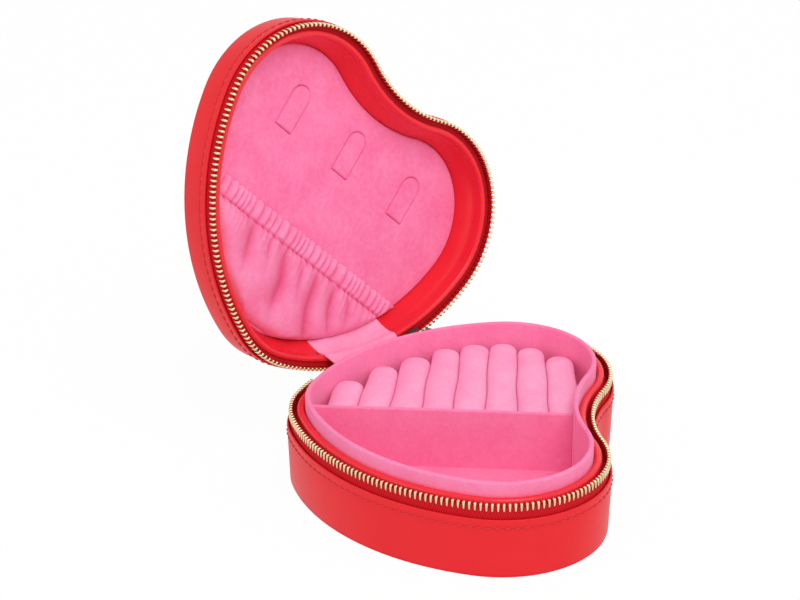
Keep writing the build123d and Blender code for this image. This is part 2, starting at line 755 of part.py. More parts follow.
with BuildPart() as zip_pull:
    with BuildSketch(slider_plane.offset(ear_low + pull_gap)):
        with Locations((0, pin_reach)):
            Circle(eye_diameter / 2)
            Rectangle(pull_length, pull_thickness, align=(Align.MIN, Align.CENTER))
            Circle(pin_diameter / 2 + pin_clearance, mode=Mode.SUBTRACT)
    extrude(amount=ear_high - ear_low - 2 * pull_gap)
    with BuildSketch(slider_plane.offset(ear_low + pull_gap)):
        with Locations((pull_neck, pin_reach)):
            Rectangle(pull_length - pull_neck, pull_thickness, align=(Align.MIN, Align.CENTER))
    extrude(amount=pull_width)
zip_pull.part.label = "zip_pull"
export_step(zip_pull.part, "parts/zip_pull.step")

with BuildPart(lid_plane.offset(lid_teeth_height)) as zip_stop:
    with Locations(chain_places(tooth_inset, lid_stop_gap, 0, lid_stop_gap / tooth_pitch)[0]):
        Box(tooth_depth, stop_length - stop_gap, tooth_height)
    with BuildSketch(lid_plane.offset(lid_tape_edge - glue_gap)):
        add(heart(tooth_inset - tooth_slot / 2))
        add(heart(tooth_inset + tooth_slot / 2), mode=Mode.SUBTRACT)
    extrude(amount=tooth_height, mode=Mode.SUBTRACT)
zip_stop.part.label = "zip_stop"
export_step(zip_stop.part, "parts/zip_stop.step")

rest_points = {
    "hinge": (hinge_x, hinge_y, hinge_height),
    "slider": tuple(slider_plane.from_local_coords((0, 0, slider_low_height))),
    "slider_x": tuple(slider_plane.x_dir),
    "pull_pin": tuple(slider_plane.from_local_coords((0, pin_reach, ear_low))),
    "pull_axis": tuple(slider_plane.z_dir),
    "tab_axis": tuple(lid_plane.y_dir),
    "tab_roots": [tuple(lid_plane.from_local_coords((tab_root, place, panel_height))) for place in tab_places],
}
for name, value in rest_points.items():
    print(name, value)
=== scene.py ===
"""Looks of a heart-shaped, zip-round jewellery box that stands with its lid open.

Pieces are in metres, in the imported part's frame. Heart coordinates are in millimetres: p runs from
the tip to the cleft, q across towards the hinge, and heights are those of the shut box.
"""
from math import atan2, cos, degrees, hypot, pi, radians, sin, sqrt

import bmesh
import bpy
import numpy as np
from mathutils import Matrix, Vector
from mathutils.geometry import delaunay_2d_cdt


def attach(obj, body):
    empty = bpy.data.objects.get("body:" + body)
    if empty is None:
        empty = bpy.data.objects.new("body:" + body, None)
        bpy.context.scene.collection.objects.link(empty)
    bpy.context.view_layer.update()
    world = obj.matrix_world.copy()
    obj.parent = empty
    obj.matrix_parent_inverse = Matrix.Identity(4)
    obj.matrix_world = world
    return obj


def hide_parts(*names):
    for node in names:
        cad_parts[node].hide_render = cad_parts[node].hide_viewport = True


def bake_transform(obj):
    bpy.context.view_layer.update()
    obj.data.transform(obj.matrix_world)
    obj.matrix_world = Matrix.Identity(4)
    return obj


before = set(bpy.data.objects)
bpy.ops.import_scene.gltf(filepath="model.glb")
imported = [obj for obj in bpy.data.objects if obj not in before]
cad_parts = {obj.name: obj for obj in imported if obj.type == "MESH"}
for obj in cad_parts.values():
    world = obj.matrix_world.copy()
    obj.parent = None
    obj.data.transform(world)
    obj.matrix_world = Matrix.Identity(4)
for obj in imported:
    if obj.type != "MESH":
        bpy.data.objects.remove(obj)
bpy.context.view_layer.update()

# Base wall cover: leather-look coated cloth, glued round the wall board with its upper edge turned over.
# The wall draws in a little towards its foot, and a slot at the back takes the hinge spine.
TIP_RADIUS, LOBE_FORWARD, LOBE_APART, LOBE_RADIUS = 45.0, 54.8, 42.7, 50.2
FLANK_RADIUS, CLEFT_RADIUS = 115.6, 70.0
ORIGIN_FORWARD, HINGE_TURN = 30.0, 45.4
BASE_EDGE, BASE_LEAN, COVER = 28.9, 1.2, 1.0
TURNED, TURNED_DEPTH = COVER + 0.05, 3.0
EDGE_ROUND, SKIN_ROUND, BACK_ROUND = 0.5, 0.25, 0.2
STITCH_DROP, GROOVE_HALF, GROOVE_DEPTH = 4.0, 0.7, 0.12
SLOT_HALF, BASE_SLOT_TOP = 19.3, 22.1
STATION_GAP, CUT_HALF = 1.5, 0.01

lobe_reach = hypot(LOBE_FORWARD, LOBE_APART)
tip_link = FLANK_RADIUS - TIP_RADIUS
lobe_link = FLANK_RADIUS - LOBE_RADIUS
along_link = (tip_link**2 - lobe_link**2 + lobe_reach**2) / (2 * lobe_reach)
across_link = sqrt(tip_link**2 - along_link**2)
flank_p = (along_link * LOBE_FORWARD + across_link * LOBE_APART) / lobe_reach
flank_q = (along_link * LOBE_APART - across_link * LOBE_FORWARD) / lobe_reach
cleft_p = LOBE_FORWARD + sqrt((LOBE_RADIUS + CLEFT_RADIUS) ** 2 - LOBE_APART**2)
tip_angle = degrees(atan2(-flank_q, -flank_p))
lobe_angle = degrees(atan2(LOBE_APART - flank_q, LOBE_FORWARD - flank_p))
cleft_angle = degrees(atan2(LOBE_APART, cleft_p - LOBE_FORWARD))
hinge_angle = 90 + HINGE_TURN
# Each arc of the outline: its centre p and q, radius, 1 if it bulges or -1 if hollow, start angle and size.
heart_arcs = (
    (flank_p, flank_q, FLANK_RADIUS, 1, hinge_angle, tip_angle - hinge_angle),
    (0, 0, TIP_RADIUS, 1, tip_angle, 360 - 2 * tip_angle),
    (flank_p, -flank_q, FLANK_RADIUS, 1, -tip_angle, tip_angle - lobe_angle),
    (LOBE_FORWARD, -LOBE_APART, LOBE_RADIUS, 1, -lobe_angle, lobe_angle + cleft_angle),
    (cleft_p, 0, CLEFT_RADIUS, -1, 180 + cleft_angle, -2 * cleft_angle),
    (LOBE_FORWARD, LOBE_APART, LOBE_RADIUS, 1, -cleft_angle, lobe_angle + cleft_angle),
    (flank_p, flank_q, FLANK_RADIUS, 1, lobe_angle, hinge_angle - lobe_angle),
)
axis_x, axis_y = cos(radians(HINGE_TURN)), sin(radians(HINGE_TURN))


def arc_lengths(inset):
    """The lengths of the outline's arcs when it is drawn in by an inset."""
    return [(radius - bulge * inset) * radians(abs(size)) for _, _, radius, bulge, _, size in heart_arcs]


def heart_length(inset):
    """The length of the outline drawn in by an inset."""
    return sum(arc_lengths(inset))


def heart_walk(distances, inset):
    """Stations by distance from the hinge's middle round the tip: centre, radius, bulge, angle, distance."""
    lengths = arc_lengths(inset)
    ends = np.cumsum(lengths)
    rows = []
    for distance in distances:
        number = min(int(np.searchsorted(ends, distance)), len(lengths) - 1)
        *arc, start, size = heart_arcs[number]
        share = (distance - ends[number] + lengths[number]) / lengths[number]
        rows.append((*arc, radians(start + size * share), distance))
    return np.array(rows)


def cut_walk(*gaps):
    """Stations all round, with a close pair wherever a piece is cut at a gap from the hinge's middle."""
    cuts = [gap + side for gap in gaps for side in (-CUT_HALF, CUT_HALF)]
    cuts += [heart_length(0) - cut for cut in cuts]
    even = np.arange(0, heart_length(0) - STATION_GAP / 2, STATION_GAP)
    return heart_walk(np.sort(np.append(even, cuts)), 0)


def from_hinge(walk):
    """How far each station is from the hinge's middle, round the nearer way."""
    return np.minimum(walk[:, 5], heart_length(0) - walk[:, 5])


def heart_at(walk, inset):
    """The points p, q of a walk's stations at an inset, or at several for each station."""
    radius = walk[:, 2:3] - walk[:, 3:4] * inset
    return walk[:, 0:1] + radius * np.cos(walk[:, 4:5]), walk[:, 1:2] + radius * np.sin(walk[:, 4:5])


def on_base(p, q, height):
    """Heart coordinates of the base, in metres in the part's frame."""
    p, q, height = np.broadcast_arrays(p, q, height)
    forward = p - ORIGIN_FORWARD
    return np.stack([axis_x * forward + axis_y * q, axis_x * q - axis_y * forward, height], -1) / 1000


def rounded(corners, steps=5):
    """A closed outline with its corners rounded; each corner is two coordinates and a radius."""
    outline = []
    for number, (x, y, radius) in enumerate(corners):
        corner = np.array((x, y), float)
        if radius == 0:
            outline.append(corner)
            continue
        back = np.array(corners[number - 1][:2], float) - corner
        ahead = np.array(corners[(number + 1) % len(corners)][:2], float) - corner
        back, ahead = back / np.linalg.norm(back), ahead / np.linalg.norm(ahead)
        half = np.arccos(np.clip(back @ ahead, -1, 1)) / 2
        middle = corner + (back + ahead) / np.linalg.norm(back + ahead) * radius / sin(half)
        first = corner + back * radius / np.tan(half) - middle
        last = corner + ahead * radius / np.tan(half) - middle
        for share in np.linspace(0, 1, steps + 1):
            way = first * (1 - share) + last * share
            outline.append(middle + way / np.linalg.norm(way) * radius)
    return np.array(outline)


def wrapped(count, sides, closed):
    """Faces between neighbouring loops of points; a closed row of loops joins its last to its first."""
    station, side = (part.ravel() for part in np.indices((count if closed else count - 1, sides)))
    low, high, above = station * sides, (station + 1) % count * sides, (side + 1) % sides
    return np.stack([low + side, low + above, high + above, high + side], 1)


def ring(walk, profile, place):
    """A closed ring that carries a profile of insets and heights round the heart, with UVs in centimetres."""
    loops = np.broadcast_to(np.asarray(profile, float), (len(walk),) + np.shape(profile)[-2:])
    count, sides = loops.shape[:2]
    points = place(*heart_at(walk, loops[..., 0]), loops[..., 1]).reshape(-1, 3)
    along = np.append(walk[:, 5], walk[-1, 5] + STATION_GAP) / 10
    across = np.append(0, np.cumsum(np.linalg.norm(np.roll(loops[0], -1, 0) - loops[0], axis=1))) / 10
    u = np.repeat(np.stack([along[:-1], along[1:], along[1:], along[:-1]], 1), sides, 0)
    v = np.tile(np.stack([across[:-1], across[:-1], across[1:], across[1:]], 1), (count, 1))
    return points, wrapped(count, sides, True)[:, [0, 3, 2, 1]], np.stack([u, v], -1)


def trimmed(profile, limits, cut):
    """The profile at each station, cut off at the station's limit by np.minimum or np.maximum."""
    loops = np.repeat(np.asarray(profile, float)[None], len(limits), 0)
    loops[..., 1] = cut(loops[..., 1], limits[:, None])
    return loops


def fasten(piece, body, nodes):
    """Puts a finished piece into the scene, on its body if it has one, and hides the nodes it replaces."""
    bpy.context.scene.collection.objects.link(piece)
    if body:
        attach(piece, body)
    if nodes:
        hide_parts(*nodes)
    return piece


def show(name, shape, finish, body, nodes=None, crease=50.0, crease_shades=None):
    """Makes a piece of points in metres, faces and any UVs; it replaces the node of its name, or others."""
    points, faces, *uv = shape
    mesh = bpy.data.meshes.new(name)
    mesh.from_pydata([tuple(point) for point in points], [], [tuple(int(n) for n in face) for face in faces])
    if uv:
        mesh.uv_layers.new(name="cloth").data.foreach_set("uv", np.asarray(uv[0], np.float32).ravel())
    shell = bmesh.new()
    shell.from_mesh(mesh)
    bmesh.ops.recalc_face_normals(shell, faces=shell.faces)
    shell.to_mesh(mesh)
    shell.free()
    mesh.shade_smooth()
    mesh.set_sharp_from_angle(angle=radians(crease))
    # A piece may carry painted shade for its velvet, one value for each point.
    if crease_shades is not None:
        mesh.attributes.new("crease_shade", "FLOAT", "POINT").data.foreach_set("value", np.asarray(crease_shades, np.float32))
    mesh.materials.append(finish)
    piece = bpy.data.objects.new(name + "_dressed", mesh)
    return fasten(piece, body, [name] if nodes is None else nodes)


def colour(text):
    """An sRGB hex value as linear red, green, blue and alpha."""
    parts = [int(text[place : place + 2], 16) / 255 for place in (1, 3, 5)]
    return tuple(c / 12.92 if c <= 0.04045 else ((c + 0.055) / 1.055) ** 2.4 for c in parts) + (1.0,)


def add_node(tree, kind, settings=(), inputs=()):
    """Adds a node; an input takes a value, a socket, or a node whose first open output feeds it."""
    node = tree.nodes.new(kind)
    for name, value in dict(settings).items():
        setattr(node, name, value)
    for name, value in dict(inputs).items():
        if isinstance(value, bpy.types.Node):
            value = next(socket for socket in value.outputs if socket.enabled)
        if isinstance(value, bpy.types.NodeSocket):
            tree.links.new(value, node.inputs[name])
        else:
            node.inputs[name].default_value = value
    return node


def new_finish(name):
    """An empty node material and its tree."""
    finish = bpy.data.materials.new(name)
    finish.use_nodes = True
    finish.node_tree.nodes.clear()
    return finish, finish.node_tree


def mottled(tree, patch_mm, detail, deep, bright):
    """Two colours in cloudy patches of a real size: the place on the piece, the pattern and the colour."""
    place = add_node(tree, "ShaderNodeTexCoord").outputs["Object"]
    patches = add_node(
        tree, "ShaderNodeTexNoise", inputs={"Vector": place, "Scale": 1000 / patch_mm, "Detail": detail}
    )
    shades = {"Factor": patches, "A": colour(deep), "B": colour(bright)}
    return place, patches, add_node(tree, "ShaderNodeMix", {"data_type": "RGBA"}, shades)


def coated_cloth(name, deep, bright, rough, shine):
    """Smooth polyurethane-coated cloth: an even red with soft, broad highlights and a faint grain."""
    finish, tree = new_finish(name)
    # The grain is finer on the real cloth, and is drawn at 0.9 mm so that it shows.
    cloud_mm, rub_mm, grain_mm = 30, 9, 0.9
    place, _, tone = mottled(tree, cloud_mm, 3.0, deep, bright)
    wear = {"Vector": place, "Scale": 1000 / rub_mm, "Detail": 4.0}
    rub = add_node(tree, "ShaderNodeTexNoise", inputs=wear)
    gloss = add_node(
        tree, "ShaderNodeMapRange", inputs={"Value": rub, "To Min": rough - 0.05, "To Max": rough + 0.08}
    )
    grain = add_node(tree, "ShaderNodeTexVoronoi", inputs={"Vector": place, "Scale": 1000 / grain_mm})
    press = add_node(tree, "ShaderNodeBump", inputs={"Height": grain, "Strength": 0.06, "Distance": 0.0002})
    look = {"Base Color": tone, "Roughness": gloss, "IOR": 1.48, "Specular IOR Level": shine, "Normal": press}
    skin = add_node(tree, "ShaderNodeBsdfPrincipled", inputs=look)
    add_node(tree, "ShaderNodeOutputMaterial", inputs={"Surface": skin})
    return finish


def base_skin(height):
    """The base wall's inset at a height."""
    return BASE_LEAN * (1 - height / BASE_EDGE)


def groove(skin, height):
    """Corners of the shallow groove that a row of stitches pulls into a wall."""
    rows = ((-GROOVE_HALF, 0), (0, GROOVE_DEPTH), (GROOVE_HALF, 0))
    return [(skin(height + rise) + sink, height + rise, 0) for rise, sink in rows]


wall_red = coated_cloth("red coated cloth, wall", "#E2222A", "#EE3036", 0.38, 0.16)
base_stitch_height = BASE_EDGE - STITCH_DROP
base_cover_profile = rounded(
    [
        (base_skin(COVER), COVER, SKIN_ROUND),
        *groove(base_skin, base_stitch_height),
        (0, BASE_EDGE, EDGE_ROUND),
        (TURNED, BASE_EDGE, EDGE_ROUND),
        (TURNED, BASE_EDGE - TURNED_DEPTH, 0),
        (base_skin(COVER) + COVER, COVER, BACK_ROUND),
    ]
)
wall_walk = cut_walk(SLOT_HALF)
in_slot = from_hinge(wall_walk) < SLOT_HALF
base_cover = trimmed(base_cover_profile, np.where(in_slot, BASE_SLOT_TOP, np.inf), np.minimum)
show("base_wall_cover", ring(wall_walk, base_cover, on_base), wall_red, "base")

# Topstitch of the base: one row of red thread 4 mm below the turned edge, locked through the cover.
# Each stitch is a short thread that dives into the cloth at both ends.
STITCH_PITCH, STITCH_LENGTH, THREAD = 4.2, 3.5, 0.7
STITCH_BOW, STITCH_SINK, STITCH_CLEAR = 0.75, 0.5, 3.0
THREAD_SIDES, THREAD_STEPS = 6, 8


def row_tree():
    """A Geometry Nodes tree that repeats a piece along a path, turned to the path's outward side."""
    tree = bpy.data.node_groups.new("row along a path", "GeometryNodeTree")
    for label, kind in (("Path", "Geometry"), ("Count", "Int"), ("Piece", "Object"), ("Finish", "Material")):
        tree.interface.new_socket(label, in_out="INPUT", socket_type="NodeSocket" + kind)
    tree.interface.new_socket("Row", in_out="OUTPUT", socket_type="NodeSocketGeometry")
    given = add_node(tree, "NodeGroupInput").outputs
    curve = add_node(tree, "GeometryNodeMeshToCurve", inputs={"Mesh": given["Path"]})
    counted = {"Curve": curve, "Count": given["Count"]}
    even = add_node(tree, "GeometryNodeResampleCurve", {"mode": "COUNT"}, counted)
    side = add_node(
        tree, "GeometryNodeInputNamedAttribute", {"data_type": "FLOAT_VECTOR"}, {"Name": "outward"}
    )
    turn = add_node(
        tree,
        "FunctionNodeAxesToRotation",
        {"primary_axis": "X", "secondary_axis": "Y"},
        {"Primary Axis": add_node(tree, "GeometryNodeInputTangent"), "Secondary Axis": side},
    )
    piece = add_node(tree, "GeometryNodeObjectInfo", inputs={"Object": given["Piece"]}).outputs["Geometry"]
    places = add_node(
        tree, "GeometryNodeInstanceOnPoints", inputs={"Points": even, "Instance": piece, "Rotation": turn}
    )
    real = add_node(tree, "GeometryNodeRealizeInstances", inputs={"Geometry": places})
    painted = add_node(
        tree, "GeometryNodeSetMaterial", inputs={"Geometry": real, "Material": given["Finish"]}
    )
    add_node(tree, "NodeGroupOutput", inputs={"Row": painted})
    return tree


def path_row(name, path, outward, count, template, finish):
    """Repeats a template along a path, and returns the row as an object with one plain mesh."""
    line = bpy.data.meshes.new(name + " path")
    line.from_pydata([tuple(point) for point in path], [(n, n + 1) for n in range(len(path) - 1)], [])
    sides = line.attributes.new("outward", "FLOAT_VECTOR", "POINT")
    sides.data.foreach_set("vector", np.asarray(outward, np.float32).ravel())
    carrier = bpy.data.objects.new(name + " path", line)
    sample = bpy.data.objects.new(name + " template", template)
    for helper in (carrier, sample):
        bpy.context.scene.collection.objects.link(helper)
    row = carrier.modifiers.new("row", "NODES")
    row.node_group = along_path
    given = {"Count": count, "Piece": sample, "Finish": finish}
    for item in along_path.interface.items_tree:
        if item.in_out == "INPUT" and item.name in given:
            row[item.identifier] = given[item.name]
    depsgraph = bpy.context.evaluated_depsgraph_get()
    mesh = bpy.data.meshes.new_from_object(carrier.evaluated_get(depsgraph), depsgraph=depsgraph)
    mesh.name = name
    for helper in (carrier, sample):
        bpy.data.objects.remove(helper)
    return bpy.data.objects.new(name + "_dressed", mesh)


def outline_path(first, last, inset, height, place, gap=0.8):
    """A path round the outline at an inset and a height, with the outward direction at each point."""
    walk = heart_walk(np.linspace(first, last, int((last - first) / gap) + 1), inset)
    near = place(*heart_at(walk, inset), height)[:, 0]
    way = place(*heart_at(walk, inset - 1), height)[:, 0] - near
    return near, way / np.linalg.norm(way, axis=1, keepdims=True)


def loft(sections, place):
    """A closed form through sections of the same count of points, each of three coordinates."""
    sections = np.asarray(sections, float)
    count, sides = sections.shape[:2]
    first, last = range(sides), range((count - 1) * sides, count * sides)
    faces = [*wrapped(count, sides, False).tolist(), list(first)[::-1], list(last)]
    return place(*sections.reshape(-1, 3).T), faces


def in_metres(x, y, z):
    """A repeated piece's own coordinates, in metres."""
    return np.stack([x, y, z], -1) / 1000


def repeated(name, sections):
    """The mesh of a piece to repeat, through sections in millimetres."""
    points, faces = loft(sections, in_metres)
    mesh = bpy.data.meshes.new(name)
    mesh.from_pydata([tuple(point) for point in points], [], faces)
    mesh.shade_smooth()
    return mesh


def stitch():
    """A thread that bows out of the cloth and dives in at both ends, along its own X."""
    sections = []
    for share in np.linspace(0, 1, THREAD_STEPS + 1):
        rise = THREAD * (STITCH_BOW * sin(pi * share) - STITCH_SINK)
        turns = 2 * pi * np.arange(THREAD_SIDES) / THREAD_SIDES
        x = (share - 0.5) * STITCH_LENGTH
        sections.append([(x, rise + THREAD / 2 * cos(turn), THREAD / 2 * sin(turn)) for turn in turns])
    mesh = repeated("stitch", sections)
    # Painted shade of the stitch holes: how near each point is to the thread's ends.
    hole_shade = [abs(2 * x / STITCH_LENGTH) ** 4 for section in sections for x, _, _ in section]
    mesh.attributes.new("hole_shade", "FLOAT", "POINT").data.foreach_set("value", hole_shade)
    return mesh


def thread_finish():
    """Twisted polyester thread: the red of the cloth with a fine twist, and painted shade where it dives into
    its hole.
    """
    finish, tree = new_finish("red polyester thread")
    # The twist is finer on the real thread, and is drawn at 0.5 mm so that it shows.
    twist_mm = 0.5
    _, _, tone = mottled(tree, twist_mm, 2.0, "#D01C24", "#EC3A40")
    # Painted shade: the thread turns a dark red towards its ends, where its holes shade it.
    hole_shade = add_node(tree, "ShaderNodeAttribute", {"attribute_name": "hole_shade"}).outputs["Fac"]
    shades = {"Factor": hole_shade, "A": tone, "B": colour("#860E16")}
    hole_shaded = add_node(tree, "ShaderNodeMix", {"data_type": "RGBA"}, shades)
    look = {"Base Color": hole_shaded, "Roughness": 0.6, "Specular IOR Level": 0.3}
    strand = add_node(tree, "ShaderNodeBsdfPrincipled", inputs=look)
    add_node(tree, "ShaderNodeOutputMaterial", inputs={"Surface": strand})
    return finish


def stitch_row(name, body, inset, height, place):
    """A row of stitches round a wall, from one side of the hinge spine to the other."""
    first, last = SLOT_HALF + STITCH_CLEAR, heart_length(inset) - SLOT_HALF - STITCH_CLEAR
    path, outward = outline_path(first, last, inset, height, place)
    count = int((last - first) / STITCH_PITCH) + 1
    return fasten(path_row(name, path, outward, count, stitch(), red_thread), body, [])


along_path = row_tree()
red_thread = thread_finish()
stitch_row("base_topstitch", "base", base_skin(base_stitch_height), base_stitch_height, on_base)

# Underside of the base: a heart of the same coated cloth, glued flat, its edge turned under the wall.
# The box rests on it.
PLATE_GAP, OUTLINE_GAP, PLATE_ROUND = 6.0, 2.0, 0.8
PLATE_GUIDES = (0.15, 0.45, 0.9)


def inside(loop, spots):
    """Which spots lie inside a closed loop."""
    x, y = spots[:, 0:1], spots[:, 1:2]
    ahead = np.roll(loop, -1, 0)
    rises = (loop[:, 1] > y) != (ahead[:, 1] > y)
    reach = (ahead[:, 0] - loop[:, 0]) * (y - loop[:, 1]) / (ahead[:, 1] - loop[:, 1] + 1e-12) + loop[:, 0]
    return (rises & (x < reach)).sum(1) % 2 == 1


def edge_distance(spots, loops):
    """How far each spot is from the nearest of some closed loops, worked out for some spots at a time."""
    batch = 400
    best = np.full(len(spots), np.inf)
    for loop in loops:
        step = np.roll(loop, -1, 0) - loop
        for start in range(0, len(spots), batch):
            some = spots[start : start + batch, None] - loop
            share = np.clip((some * step).sum(2) / np.maximum((step**2).sum(1), 1e-12), 0, 1)
            gap = np.linalg.norm(some - share[..., None] * step, axis=2).min(1)
            best[start : start + batch] = np.minimum(best[start : start + batch], gap)
    return best


def plate(outer, holes, guides, gap, face, back, place):
    """A closed plate between an outer loop and holes; face gives the heights at spots, and back is flat."""
    # Spots between the loops lie in staggered rows, and keep clear of the loops; both are shares of the gap.
    row_share, clear_share = 0.866, 0.45
    loops = [outer, *holes, *guides]
    spots, edges = [], []
    for loop in loops:
        first = len(spots)
        spots += [tuple(spot) for spot in loop]
        edges += [(first + n, first + (n + 1) % len(loop)) for n in range(len(loop))]
    low, high = outer.min(0), outer.max(0)
    rows = enumerate(np.arange(low[1], high[1], gap * row_share))
    grid = np.array([(p + gap / 2 * (n % 2), q) for n, q in rows for p in np.arange(low[0], high[0], gap)])
    grid = grid[inside(outer, grid) & (edge_distance(grid, loops) > gap * clear_share)]
    spots += [tuple(spot) for spot in grid]
    found = delaunay_2d_cdt([Vector(spot) for spot in spots], edges, [], 0, 1e-6)
    spots = np.array([tuple(spot) for spot in found[0]])
    faces = np.array([tuple(corners) for corners in found[2]])
    middle = spots[faces].mean(1)
    keep = inside(outer, middle)
    for hole in holes:
        keep &= ~inside(hole, middle)
    used, faces = np.unique(faces[keep], return_inverse=True)
    spots, faces = spots[used], faces.reshape(-1, 3)
    borders = {tuple(border) for pair in ([0, 1], [1, 2], [2, 0]) for border in faces[:, pair].tolist()}
    count = len(spots)
    sides = [(b, a, a + count, b + count) for a, b in borders if (b, a) not in borders]
    points = np.concatenate([place(*spots.T, face(spots)), place(*spots.T, back)])
    return points, [*faces.tolist(), *(faces[:, ::-1] + count).tolist(), *sides]


def heart_loop(inset, gap=OUTLINE_GAP):
    """The heart's outline drawn in by an inset, as a loop of p, q."""
    walk = heart_walk(np.arange(0, heart_length(0) - gap / 2, gap), 0)
    return np.concatenate(heart_at(walk, inset), 1)


def edge_drop(distance, radius):
    """How far a rounded edge has fallen at a distance from it."""
    return radius - np.sqrt(np.maximum(radius**2 - np.maximum(radius - distance, 0) ** 2, 0))


def turned_plate(inset, face, back, place):
    """A heart of coated cloth whose face is rounded off where its edge is turned over."""
    outer = heart_loop(inset)
    guides = [heart_loop(inset + inward) for inward in PLATE_GUIDES]
    towards_back = np.sign(back - face)

    def heights(spots):
        return face + towards_back * edge_drop(edge_distance(spots, [outer]), PLATE_ROUND)

    return plate(outer, [], guides, PLATE_GAP, heights, back, place)


show("base_bottom_cover", turned_plate(BASE_LEAN, 0, COVER, on_base), wall_red, "base")

# Stiffening boards: grey card with red lining paper glued over it, shut in between covers and linings.
# Only the paper on the base board shows, deep in the gutter behind the zip.


def lining_paper():
    """Dyed paper over card: matt, deep red and slightly fibrous."""
    finish, tree = new_finish("red lining paper on card")
    fibre_mm = 1.5
    _, _, tone = mottled(tree, fibre_mm, 4.0, "#AE101A", "#C81A24")
    look = {"Base Color": tone, "Roughness": 0.9, "Specular IOR Level": 0.2}
    sheet = add_node(tree, "ShaderNodeBsdfPrincipled", inputs=look)
    add_node(tree, "ShaderNodeOutputMaterial", inputs={"Surface": sheet})
    return finish


red_paper = lining_paper()
for board in ("base_bottom_board", "base_wall_board", "lid_top_board", "lid_wall_board"):
    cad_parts[board].data.materials.clear()
    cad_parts[board].data.materials.append(red_paper)

# Inner frame of the base: a stiff ring in the red cloth, whose rounded top makes the lip inside the zip.
# It is glued to the wall board and holds the tray.
FRAME_OUTER, FRAME_INNER, FRAME_FOOT, FRAME_TOP, LIP_ROUND = 4.7, 8.3, 3.0, 36.5, 1.75
inner_red = coated_cloth("red coated cloth, inner lip", "#EA1E2C", "#F62E3C", 0.24, 0.34)


def strip(outer, inner, low, high, foot_round, top_round, steps):
    """The section of a standing strip, rounded at its foot and its top."""
    foot, top = (low, foot_round), (high, top_round)
    return rounded([(outer, *foot), (outer, *top), (inner, *top), (inner, *foot)], steps)


heart_round = cut_walk()
frame_profile = strip(FRAME_OUTER, FRAME_INNER, FRAME_FOOT, FRAME_TOP, 0, LIP_ROUND, 8)
show("base_inner_frame", ring(heart_round, frame_profile, on_base), inner_red, "base")

# Tray: card covered in short-pile velvet; a wall round the heart, a floor and a divider along its axis.
# The wall's rim is turned over, and the pieces are glued at their feet.
TRAY_OUTER, TRAY_INNER, TRAY_FOOT, TRAY_TOP, RIM_ROUND = 8.6, 10.8, 3.0, 42.6, 1.05
FLOOR_TOP, FLOOR_INSET, FLOOR_GAP = 5.0, 10.9, 4.0
FLOOR_RISE, FLOOR_RISE_WIDTH, FLOOR_GUIDES = 0.8, 0.7, (0.4, 1.0, 1.8)
DIVIDER_TOP, DIVIDER_FRONT, DIVIDER_BACK, DIVIDER_ROUND = 34.5, 1.1, 3.3, 0.95
DIVIDER_WAVE, DIVIDER_WAVELENGTH, DIVIDER_STATIONS = 0.12, 17, 60


def velvet(name, deep, bright, glint):
    """Short-pile polyester velvet: matt, mottled pink with painted glints; its pile lights up at edges, and
    creases get painted shade.
    """
    finish, tree = new_finish(name)
    place = add_node(tree, "ShaderNodeTexCoord").outputs["Object"]
    # The pile is finer on the real cloth, and is drawn at 0.8 mm so that it shows.
    brush_mm, tuft_mm, pile_mm = 14, 2.4, 0.8
    layers = []
    for size_mm, detail, rough, reach in (
        (brush_mm, 3.0, 0.5, 0.14),
        (tuft_mm, 4.0, 0.5, 0.14),
        (pile_mm, 3.0, 0.7, 0.2),
    ):
        grain = {"Vector": place, "Scale": 1000 / size_mm, "Detail": detail, "Roughness": rough}
        noise = add_node(tree, "ShaderNodeTexNoise", inputs=grain)
        spread = {"Value": noise, "From Min": 0.5 - reach, "From Max": 0.5 + reach}
        layers.append((noise, add_node(tree, "ShaderNodeMapRange", inputs=spread)))
    (_, strokes), (_, tufts), (pile, specks) = layers
    mottle = add_node(tree, "ShaderNodeMix", inputs={"Factor": 0.45, "A": strokes, "B": tufts})
    # Painted glints: the fine specks at pile size make the pink lighter and darker in tiny random spots, as
    # much as glint asks.
    speck = add_node(tree, "ShaderNodeMix", inputs={"Factor": glint, "A": mottle, "B": specks})
    shades = {"Factor": speck, "A": colour(deep), "B": colour(bright)}
    tone = add_node(tree, "ShaderNodeMix", {"data_type": "RGBA"}, shades)
    # Painted shade: the pink is multiplied by a dusky pink wherever a piece marks its creases.
    crease_shade = add_node(tree, "ShaderNodeAttribute", {"attribute_name": "crease_shade"}).outputs["Fac"]
    crease_shaded = add_node(
        tree,
        "ShaderNodeMix",
        {"data_type": "RGBA", "blend_type": "MULTIPLY"},
        {"Factor": crease_shade, "A": tone, "B": colour("#E69CB6")},
    )
    nap = add_node(tree, "ShaderNodeBump", inputs={"Height": pile, "Strength": 0.35, "Distance": 0.0004})
    look = {
        "Base Color": crease_shaded,
        "Roughness": 0.95,
        "Specular IOR Level": 0.2,
        "Sheen Weight": 0.35,
        "Sheen Roughness": 0.45,
        "Sheen Tint": colour("#FFC4DC"),
        "Normal": nap,
    }
    surface = add_node(tree, "ShaderNodeBsdfPrincipled", inputs=look)
    add_node(tree, "ShaderNodeOutputMaterial", inputs={"Surface": surface})
    return finish


# The same pink velvet covers the tray, rolls, lining, pocket and hinge strip; each part's copy is tuned
# lighter or darker than the tray's as painted light and shade.
tray_pink = velvet("pink velvet, tray", "#F97AAC", "#FF98C2", 0.5)
tray_profile = strip(TRAY_OUTER, TRAY_INNER, TRAY_FOOT, TRAY_TOP, 0, RIM_ROUND, 7)
show("tray_wall", ring(heart_round, tray_profile, on_base), tray_pink, "base")

floor_outer = heart_loop(FLOOR_INSET)
floor_guides = [heart_loop(FLOOR_INSET + inward) for inward in FLOOR_GUIDES]


